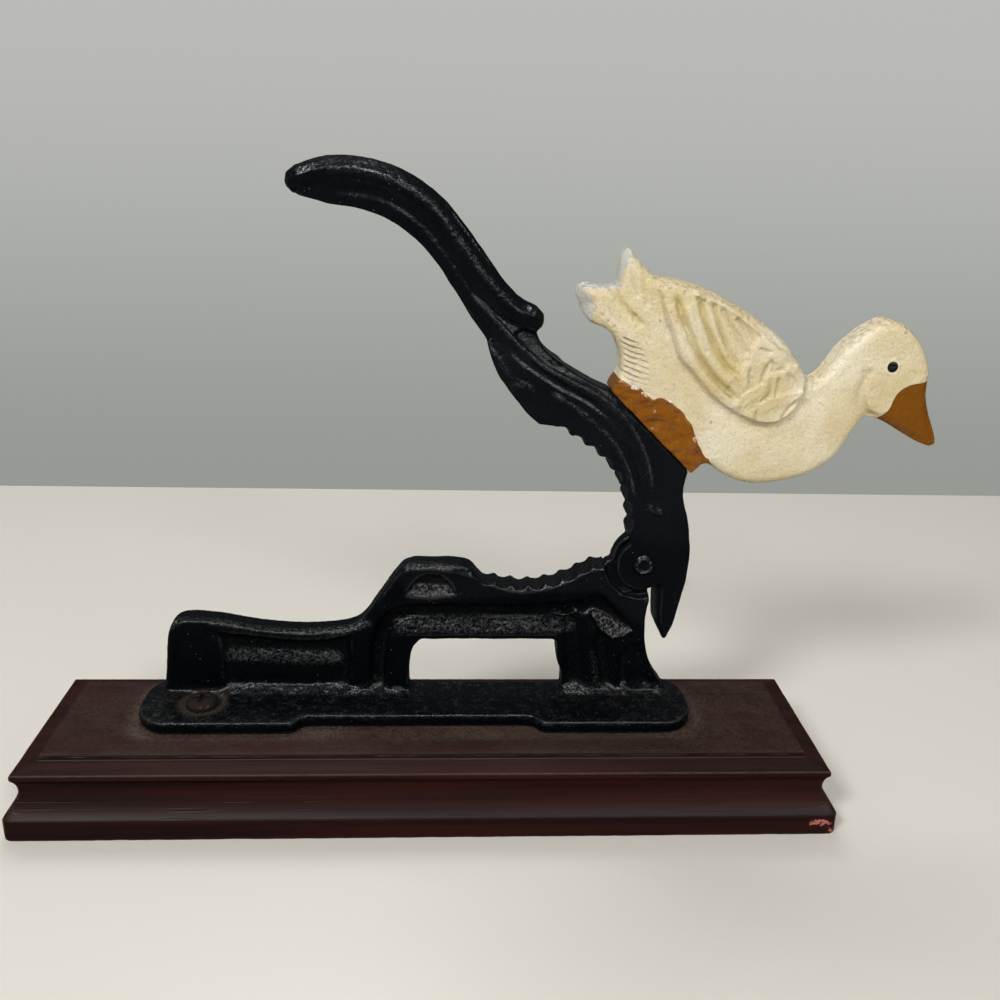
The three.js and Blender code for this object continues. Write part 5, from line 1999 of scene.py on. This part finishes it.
@dataclass
class Studio:
    """The pale table, the wall behind it, the lamps and the camera."""

    focal_px: float = 1000.0
    width_px: float = 1000.0
    camera_at: Triple = (2.7, -228.3, 160.0)
    pitch: float = 19.55
    roll: float = 1.72
    yaw: float = -3.45
    table: Colour = linear(212, 207, 196)
    wall: Colour = linear(186, 187, 183)
    # Painted shade: the wall's colour at its foot, darker than higher up.
    wall_low: Colour = linear(150, 153, 148)
    daylight: Colour = (0.95, 0.97, 1.0, 1.0)
    wall_distance: float = 235.0
    wall_shade: float = 0.22
    wall_rise: float = 0.22
    table_roughness: float = 0.34
    table_gloss: float = 0.4
    table_mirrored: float = 0.88
    table_shade: float = 0.96
    fill_strength: float = 0.34
    pale_strength: float = 0.18
    half_width: float = 4.0
    wall_height: float = 3.0
    target: Triple = (0.0, 0.0, 0.06)
    lamps: tuple[Lamp, ...] = (
        Lamp("left_lamp", (-0.66, -0.78, 0.98), 0.34, 11.6),
        Lamp("right_lamp", (0.42, -0.95, 0.9), 0.26, 5.2),
        Lamp("rear_lamp", (-0.1, 0.62, 1.1), 0.5, 4.8),
        Lamp("left_glint", (-0.5, -0.55, 1.1), 0.22, 24.0, glint=True),
        Lamp("high_glint", (0.1, -0.3, 1.2), 0.2, 18.0, glint=True),
        Lamp("right_glint", (0.7, -0.6, 0.8), 0.26, 9.0, glint=True),
    )

    def build(self) -> None:
        """Sets up the whole studio."""
        self.camera()
        self.floor()
        self.backdrop()
        self.surround()
        for lamp in self.lamps:
            lamp.hang(Vector(self.target))
        bpy.context.scene.view_settings.view_transform = "Standard"

    def camera(self) -> None:
        """Puts the camera at the photograph's place and angle."""
        pitch, roll, yaw = (math.radians(angle) for angle in (self.pitch, self.roll, self.yaw))
        turn = Matrix.Rotation(yaw, 3, "Z")
        ahead = turn @ Vector((0, math.cos(pitch), -math.sin(pitch)))
        right = turn @ Vector((1, 0, 0))
        up = right.cross(ahead)
        right_rolled = math.cos(roll) * right + math.sin(roll) * up
        up_rolled = -math.sin(roll) * right + math.cos(roll) * up
        data = bpy.data.cameras.new("camera")
        data.sensor_fit = "HORIZONTAL"
        data.sensor_width = 36.0
        data.lens = data.sensor_width * self.focal_px / self.width_px
        data.clip_start = 0.01
        data.clip_end = 20.0
        camera = bpy.data.objects.new("camera", data)
        axes = Matrix((right_rolled, up_rolled, -ahead)).transposed()
        camera.matrix_world = Matrix.Translation(Vector(self.camera_at) * MM) @ axes.to_4x4()
        bpy.context.collection.objects.link(camera)
        bpy.context.scene.camera = camera

    @staticmethod
    def sheet(name: str, corners: Sequence[Triple], material: bpy.types.Material) -> bpy.types.Object:
        """Makes a flat stage piece.

        Args:
            name: its name.
            corners: its corners in metres.
            material: its finish.

        Returns:
            The piece.
        """
        form = bmesh.new()
        form.faces.new([form.verts.new(corner) for corner in corners])
        mesh = bpy.data.meshes.new(name)
        form.to_mesh(mesh)
        form.free()
        mesh.materials.append(material)
        piece = bpy.data.objects.new(name, mesh)
        bpy.context.collection.objects.link(piece)
        return piece

    def floor(self) -> None:
        """Makes the pale table top, which shows darker in the gloss of the object."""
        material, board, shader, where = Finish.start("table_paint")
        shade = tuple(value * self.table_shade for value in self.table[:3]) + (1.0,)
        mirrored = board.signal("LightPath", "Is Glossy Ray") * self.table_mirrored
        colour = board.layered(self.table, (board.noise(where, 9.0, 2.0, 0.5), shade),
                               (mirrored, (0.0, 0.0, 0.0, 1.0)))
        board.feed(shader, {"Base Color": colour, "Roughness": self.table_roughness,
                            "Specular IOR Level": self.table_gloss})
        half = self.half_width
        corners = [(-half, -half, 0), (half, -half, 0), (half, half, 0), (-half, half, 0)]
        self.sheet("table_top", corners, material)

    def backdrop(self) -> None:
        """Makes the wall, which is seen only from its front."""
        material = bpy.data.materials.new("wall_paint")
        material.use_nodes = True
        board = Board(material.node_tree)
        board.tree.nodes.clear()
        high = board.part(board.signal("TexCoord", "Object"), 2)
        # Painted shade: the wall is darker towards its foot.
        colour = board.layered(self.wall_low, (high.spread(0.0, self.wall_rise), self.wall))
        # Painted reflection: in gloss the wall shows dimmer than it is seen.
        strength = board.signal("LightPath", "Is Glossy Ray").spread(0.0, 1.0, 1.0, self.wall_shade)
        shown = board.signal("Emission", 0, {"Color": colour, "Strength": strength})
        behind = board.signal("NewGeometry", "Backfacing")
        mix = board.signal("MixShader", 0, {0: behind, 1: shown, 2: board.signal("BsdfTransparent", 0)})
        board.add("OutputMaterial", {"Surface": mix})
        far, half, top = self.wall_distance * MM, self.half_width, self.wall_height
        corners = [(-half, far, 0), (half, far, 0), (half, far, top), (-half, far, top)]
        piece = self.sheet("back_wall", corners, material)
        piece.visible_diffuse = False
        piece.visible_shadow = False

    def surround(self) -> None:
        """Makes the pale surround: soft light on the object, and the wall's colour where it is seen."""
        world = bpy.data.worlds.new("surround")
        bpy.context.scene.world = world
        world.use_nodes = True
        board = Board(world.node_tree)
        board.tree.nodes.clear()
        camera, glossy, through = (board.signal("LightPath", f"Is {kind} Ray")
                                   for kind in ("Camera", "Glossy", "Transmission"))
        seen = board.maths("MAXIMUM", camera, board.maths("MAXIMUM", glossy, through))
        fill = board.signal("Background", 0, {"Color": self.daylight, "Strength": self.fill_strength})
        pale = board.signal("Background", 0, {"Color": self.wall, "Strength": self.pale_strength})
        board.add("OutputWorld", {"Surface": board.signal("MixShader", 0, {0: seen, 1: fill, 2: pale})})


def main() -> None:
    """Builds the object's pieces in order, then the studio."""
    logging.basicConfig(level=logging.INFO, format="%(message)s")
    iron = BlackIron().material()
    steel = DullSteel().material()
    Plinth().build(StainedWood().material())
    FrameCasting().build(iron)
    LeverCasting().build(iron)
    Goose().build(GoosePaint().material())
    rivet = SmallSteel("pivot_rivet_steel", "pivot_rivet", "lever", "rivet_steel", ring_height=0.3)
    rivet.build(BlackIron("rivet_black").material())
    for node, seed in (("flange_screw", 42), ("foot_screw", 43)):
        SmallSteel(node + "_steel", node, "frame", "screw_steel", seed=seed).build(steel)
    Studio().build()


if __name__ == "__main__":
    main()
